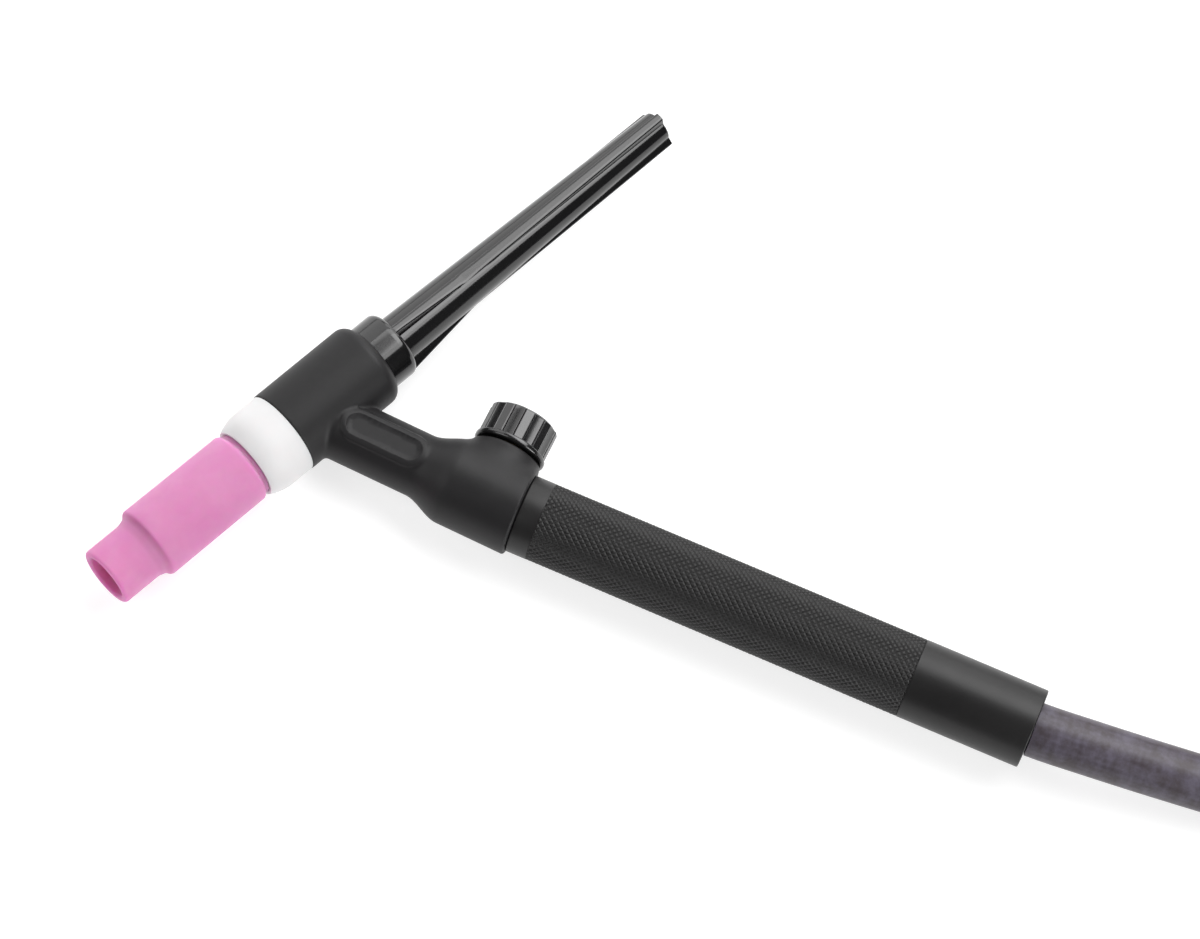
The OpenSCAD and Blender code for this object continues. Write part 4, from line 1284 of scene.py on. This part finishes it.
@dataclass
class Handle:
    """The handle tube: front ring, diamond knurl and plain back, with a chamfered bore."""

    front_r: float = 10.25
    back_r: float = 10.4
    length: float = 139.7
    ring: float = 5.7
    plain: float = 32.9
    bore_r: float = 7.95
    starts: int = 38
    pitch: float = 1.825
    depth: float = 0.3
    edge: float = 0.08
    per_pitch: int = 6
    profile_at: tuple[float, ...] = (0.0, 1 / 6, 1 / 3, 0.5)
    profile_deep: tuple[float, ...] = (1.0, 0.52, 0.08, 0.0)

    def build(self, shop: Workshop) -> None:
        """Makes the handle; its radius grows from the ring's to the back's in a straight line.

        Args:
            shop: The frame, axes and finishes.
        """
        end, edge = self.knurl_end, self.edge
        band = np.linspace(self.ring, end, self.rows + 1)
        mid = self.front_r + (self.back_r - self.front_r) * (band - self.ring) / (end - self.ring)
        head = rounded([
            (self.bore_r, 0, 0), (self.front_r, 0, 0.35), (self.front_r, self.ring - edge, 0),
            (self.front_r - self.depth, self.ring - edge / 2, 0)], 5)
        tail = rounded([
            (self.back_r - self.depth, end + edge / 2, 0), (self.back_r, end + edge, 0),
            (self.back_r, end + 3 * edge, 0), (self.back_r, self.length, 0.4),
            (self.bore_r, self.length, 0.5), (self.bore_r, 0, 0)], 5)
        outline = np.concatenate([head, np.stack([mid, band], axis=1), tail[:-1]])
        piece = lathe("handle_tube", shop.layout.handle, outline, self.starts * self.per_pitch, closed=True,
                      radius_at=self._knurl, crease=38.0, split=self._split)
        shop.fit(piece, "handle_black", "torch", "handle")

    @property
    def knurl_end(self) -> float:
        """Gives the place where the knurl ends and the plain back starts."""
        return self.length - self.plain

    @property
    def rows(self) -> int:
        """Gives the number of steps along the knurl."""
        return round((self.knurl_end - self.ring) / self.pitch * self.per_pitch)

    def _phases(self, s: np.ndarray, angle: np.ndarray) -> list[np.ndarray]:
        """Gives how far a point is from the nearest groove of each family, in turns up to a half.

        The two phases are starts times the angle plus or minus the place over the pitch.

        Args:
            s: The place along the handle.
            angle: The angle round it.

        Returns:
            The two distances.
        """
        around = self.starts * angle / TURN
        along = (s - self.ring) / (self.knurl_end - self.ring) * self.rows / self.per_pitch
        return [np.abs((phase + 0.5) % 1.0 - 0.5) for phase in (around + along, around - along)]

    def _knurl(self, r: np.ndarray, s: np.ndarray, angle: np.ndarray) -> np.ndarray:
        """Cuts crossing helical V-grooves that leave diamonds with small flat tops.

        Args:
            r: The outline's radius.
            s: The place along the handle.
            angle: The angle round it.

        Returns:
            The knurled radius.
        """
        inside = (s >= self.ring) & (s <= self.knurl_end) & (r > self.bore_r + 1)
        groove = np.interp(np.minimum(*self._phases(s, angle)), self.profile_at, self.profile_deep)
        return np.where(inside, r - self.depth * groove, r)

    def _split(self, quads: np.ndarray, outline: np.ndarray, sides: int) -> list[list[int]]:
        """Splits the knurl's quads in two, each along the diagonal that the nearer groove follows.

        Args:
            quads: The grid's quads.
            outline: The outline that was turned.
            sides: Steps round the axis.

        Returns:
            Triangles on the knurl and quads elsewhere.
        """
        row, col = quads[:, 0] // sides, quads[:, 0] % sides
        s0, s1 = outline[row, 1], outline[(row + 1) % len(outline), 1]
        inside = (s0 > self.ring - TINY) & (s1 < self.knurl_end + TINY) & (s1 > s0)
        inside &= outline[row, 0] > self.bore_r + 1
        plus, minus = self._phases((s0 + s1) / 2, (col + 0.5) * TURN / sides)
        first, second = quads[inside & (plus <= minus)], quads[inside & (plus > minus)]
        halves = [first[:, [0, 1, 3]], first[:, [1, 2, 3]], second[:, [0, 1, 2]], second[:, [0, 2, 3]]]
        return quads[~inside].tolist() + np.concatenate(halves).tolist()


def rounded_loop(low: np.ndarray, high: np.ndarray, r: float) -> np.ndarray:
    """Draws a rectangle with round corners.

    Args:
        low: Its lower left corner.
        high: Its upper right corner.
        r: The corners' radius.

    Returns:
        Points in order.
    """
    a = np.radians(np.linspace(0, 90, 9))[:, None] + np.radians([-90, 0, 90, 180])
    middle = np.array([(high[0], low[1]), high, (low[0], high[1]), low])
    middle += r * np.array([(-1, 1), (-1, -1), (1, -1), (1, 1)])
    return (middle[:, None] + r * np.stack([np.cos(a.T), np.sin(a.T)], axis=-1)).reshape(-1, 2)


def curve_through(points: np.ndarray, step: float, before: np.ndarray, after: np.ndarray) -> np.ndarray:
    """Draws a smooth curve through points.

    Each stretch is a cubic, and the slope at a point is that of the line between its neighbours.

    Args:
        points: The points, in order.
        step: The distance between the curve's points.
        before: A point that sets the first slope.
        after: A point that sets the last slope.

    Returns:
        The curve's points.
    """
    whole = np.concatenate([before[None], points, after[None]])
    gap = np.linalg.norm(np.diff(whole, axis=0), axis=1)
    slope = (whole[2:] - whole[:-2]) / (gap[1:] + gap[:-1])[:, None]
    out = []
    for p1, p2, m1, m2, span in zip(points[:-1], points[1:], slope[:-1], slope[1:], gap[1:]):
        count = max(2, round(span / step))
        t = (np.arange(count) / count)[:, None]
        out.append((2 * t**3 - 3 * t**2 + 1) * p1 + (t**3 - 2 * t**2 + t) * m1 * span
                   + (-2 * t**3 + 3 * t**2) * p2 + (t**3 - t**2) * m2 * span)
    return np.concatenate([*out, points[-1:]])


@dataclass
class Hose:
    """The power hose with its coil, and the straps round it."""

    radius: float = 7.1
    turns: float = 6.5
    per_turn: int = 90
    inner: float = 67.8
    pitch: float = 14.9
    sides: int = 28
    ring_step: float = 4.0
    guide: float = 20.0
    strap_t: float = 1.2
    strap_w: float = 14.0
    strap_at: tuple[float, ...] = (0.125, 0.625)
    strap_bend: float = 5.6
    strap_bevel: float = 0.3
    strap_nip: float = 0.2
    strap_slack_in: float = 0.9
    strap_slack_out: float = 0.3
    strap_slack_up: float = 0.1
    length: float = 3.98

    RUN = ((0, 0, 0), (14, 1.2, -0.3), (34, 3.8, -2.2), (56, 7, -4), (80, 10.8, -4.3), (106, 14, -3.5),
           (122, 14.4, -3.2))
    TAIL = ((0, 0, 0), (-14, 0.4, -0.8), (-32, 1.6, -4.4), (-50, 3, -8.4), (-64, 3.6, -9.6), (-80, 3.8, -9.7))

    def _middle(self, exit_at: np.ndarray) -> np.ndarray:
        """Gives the middle of the coil's lower layer."""
        outer = self.inner + self.pitch * self.turns / 2
        return exit_at + self.RUN[-1] + [2 * self.radius, 0, 0] + [0, outer, 0]

    def route(self, exit_at: np.ndarray) -> np.ndarray:
        """Works out the hose's centreline: free run, straight, coil, straight, tail.

        The coil winds in to its middle turn, climbs a layer there and winds out again.

        Args:
            exit_at: Where the hose leaves the handle.

        Returns:
            Points along the line.
        """
        run, half = exit_at + np.array(self.RUN, float), self.turns / 2
        t = np.arange(round(self.turns * self.per_turn) + 1) / self.per_turn
        r = self.inner + self.pitch * np.abs(t - half)
        z = self.pitch * ease((t - half + 0.25) * 2)
        coil = self._middle(exit_at) + np.stack([r * np.sin(t * TURN), -r * np.cos(t * TURN), z], axis=1)
        straight, guide = np.array([2 * self.radius, 0, 0]), np.array([self.guide, 0, 0])
        tail = coil[-1] - straight + np.array(self.TAIL, float)
        before = curve_through(run, self.ring_step, run[0] - guide, run[-1] + straight)
        after = curve_through(tail, self.ring_step, coil[-1], tail[-1] - guide)
        return np.concatenate([before, coil, after])

    def build(self, shop: Workshop) -> None:
        """Args:
            shop: The frame, axes and finishes.
        """
        path = self.route(shop.layout.exit)
        rings, run = tube_points(path, self.radius, self.sides)
        ends = path[[0, -1]][:, None] + 0 * rings[[0, -1]]
        points = np.concatenate([ends[:1], rings, ends[1:]])
        v = np.concatenate([[0], run, run[-1:]]) * MM
        u = (np.arange(self.sides)[None, :, None] + [0, 1, 1, 0]) / self.sides
        v = v[np.arange(len(points) - 1)[:, None, None] + [0, 0, 1, 1]]
        uv = np.stack(np.broadcast_arrays(u, v), axis=-1)
        hose = make_mesh("power_hose", points, grid_faces(len(points), self.sides, False), uv=uv)
        straps = self._straps(shop)
        shop.fit(hose, "hose_braid", "torch", "hose_run", "hose_coil", "hose_tail")

    def _straps(self, shop: Workshop) -> bpy.types.Object:
        """Makes closed bands round the coil, each a rounded loop carried across its width.

        Args:
            shop: The frame, axes and finishes.

        Returns:
            The straps, as one piece.
        """
        bands = []
        w, h, nip, bevel = self.strap_w / 2, self.strap_t / 2, self.strap_nip, self.strap_bevel
        half = np.array([(-w, nip - h), (bevel - w, -h), (w - bevel, -h), (w, nip - h)])
        section, reach = np.concatenate([half, -half]), self.radius + self.strap_slack_up
        for turn in self.strap_at:
            radii = self.inner + self.pitch * np.abs(np.arange(turn, self.turns, 1.0) - self.turns / 2)
            low = np.array([radii.min() - self.radius - self.strap_slack_in, -reach]) - h
            high = np.array([radii.max() + self.radius + self.strap_slack_out, self.pitch + reach]) + h
            loop = rounded_loop(low, high, self.strap_bend)
            run = unit(np.roll(loop, -1, axis=0) - np.roll(loop, 1, axis=0))
            out = np.stack([run[:, 1], -run[:, 0]], axis=1)
            flat = loop[:, None] + out[:, None] * section[None, :, 1:]
            cos, sin = math.cos(turn * TURN - math.pi / 2), math.sin(turn * TURN - math.pi / 2)
            points = (self._middle(shop.layout.exit) + flat[..., :1] * np.array([cos, sin, 0])
                      + flat[..., 1:] * np.array([0, 0, 1]) + section[None, :, :1] * np.array([-sin, cos, 0]))
            bands.append(make_mesh("hose_straps", points, grid_faces(len(loop), len(section), True)))
        join(bands)
        finish_mesh(bands[0].data, 32.0)
        return shop.fit(bands[0], "strap_web", "torch", "coil_straps")


@dataclass
class Inner:
    """The pieces whose CAD shape is kept: they get their finishes."""

    def build(self, shop: Workshop) -> None:
        """Dresses every CAD node in its slot's finish.

        Args:
            shop: The frame, axes and finishes.
        """
        slots = {row["node"]: row["material_slot"] for row in shop.frame["record"]["subparts"]}
        for node, piece in shop.frame["nodes"].items():
            shop.paints.put(piece, slots[node])
            LOG.info("%s: kept from the frame", node)


# --- Studio ---


def placed(x: Sequence[float], y: Sequence[float], z: Sequence[float], at: Triple) -> Matrix:
    """Gives the matrix that turns to three directions and moves to a place."""
    return Matrix.Translation(Vector(at) * MM) @ Matrix([x, y, z]).transposed().to_4x4()


@dataclass(frozen=True)
class Panel:
    """A rectangular soft light: where its middle is, how its width runs, where it faces, how bright."""

    name: str
    place: Triple
    along: Triple
    facing: Triple
    size: tuple[float, float]
    radiance: float

    def hang(self) -> None:
        """Makes the lamp; its power is pi times its area times its radiance."""
        data = bpy.data.lights.new(self.name, "AREA")
        data.shape = "RECTANGLE"
        data.size, data.size_y = self.size[0] * MM, self.size[1] * MM
        data.energy = math.pi * data.size * data.size_y * self.radiance
        back = -Vector(self.facing).normalized()
        along = Vector(self.along)
        along = (along - along.dot(back) * back).normalized()
        show(self.name, data).matrix_world = placed(along, back.cross(along), back, self.place)


@dataclass
class Studio:
    """Pale floor, soft light and the camera."""

    focal_px: float = 5580.0
    frame_px: float = 1200.0
    sensor: float = 36.0
    far_m: float = 100.0
    right: Triple = (0.9197, 0.385, 0.0766)
    up: Triple = (-0.3864, 0.8533, 0.3501)
    back: Triple = (0.0695, -0.3516, 0.9336)
    place: Triple = (89.61, -504.66, 1331.86)
    floor_half: float = 6000.0
    floor_color: Triple = (0.46, 0.46, 0.46)
    floor_glow: float = 0.68
    room_light: float = 0.07
    panels: tuple[Panel, ...] = (
        Panel("key", (552, 991, 1400), (0.909, -0.416, 0), (0, 0, -1), (2000, 1500), 4.2),
        Panel("key_core", (643, 949, 1395), (0.909, -0.416, 0), (0, 0, -1), (900, 1500), 1.6),
        Panel("left", (-1001, 1008, 750), (0.416, 0.909, 0), (0.792, -0.362, -0.492), (1400, 1496), 1.7),
        Panel("back", (100, 1900, 750), (1, 0, 0), (0, -0.95, -0.31), (1600, 1100), 2.5),
        Panel("front", (-947, -545, 990), (-0.5, 0.866, 0), (0.612, 0.354, -0.707), (1000, 900), 2.2),
        Panel("right", (1216, -773, 490), (0.515, 0.857, 0), (-0.826, 0.496, -0.27), (860, 860), 5.6),
    )

    def build(self) -> None:
        """Makes the camera, the floor, the world and the lamps."""
        bpy.context.scene.view_settings.view_transform = "Standard"
        self._camera()
        self._floor()
        self._world()
        for panel in self.panels:
            panel.hang()

    def _camera(self) -> None:
        """Places the camera from its measured directions and position."""
        data = bpy.data.cameras.new("camera")
        data.sensor_width = self.sensor
        data.lens = self.focal_px / self.frame_px * self.sensor
        data.clip_end = self.far_m
        camera = show("camera", data)
        camera.matrix_world = placed(self.right, self.up, self.back, self.place)
        bpy.context.scene.camera = camera

    def _floor(self) -> None:
        """Lays the pale floor, which glows a little so that shadows on it stay faint."""
        h = self.floor_half
        points = np.array([(-h, -h, 0), (h, -h, 0), (h, h, 0), (-h, h, 0)], float)
        floor = make_mesh("floor", points, np.array([[0, 1, 2, 3]]))
        material = bare_material("pale_floor")
        surface = add(material.node_tree, "BsdfPrincipled", {
            "Base Color": (*self.floor_color, 1), "Roughness": 0.9, "Specular IOR Level": 0.1,
            "Emission Color": (1, 1, 1, 1), "Emission Strength": self.floor_glow})
        add(material.node_tree, "OutputMaterial", {"Surface": surface.outputs[0]})
        floor.data.materials.append(material)

    def _world(self) -> None:
        """Fills the room with soft even light."""
        world = bpy.data.worlds.new("studio")
        bpy.context.scene.world = world
        world.use_nodes = True
        light = world.node_tree.nodes["Background"]
        light.inputs["Color"].default_value = (1, 1, 1, 1)
        light.inputs["Strength"].default_value = self.room_light


def corners(box: tuple[Vector, Vector]) -> list[list[float]]:
    """Turns a box into plain lists of numbers."""
    return [list(map(float, corner)) for corner in box]


def main() -> None:
    """Builds every class in order."""
    logging.basicConfig(level=logging.INFO, format="%(name)s: %(message)s")
    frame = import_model()
    Studio().build()
    layout = Layout.read(frame)
    shop = Workshop(frame, layout, Paints(layout))
    for part in (Inner(), Hose(), BodyMoulding(), Nozzle(), BackCap(), ValveKnob(), Handle()):
        part.build(shop)


if __name__ == "__main__":
    main()
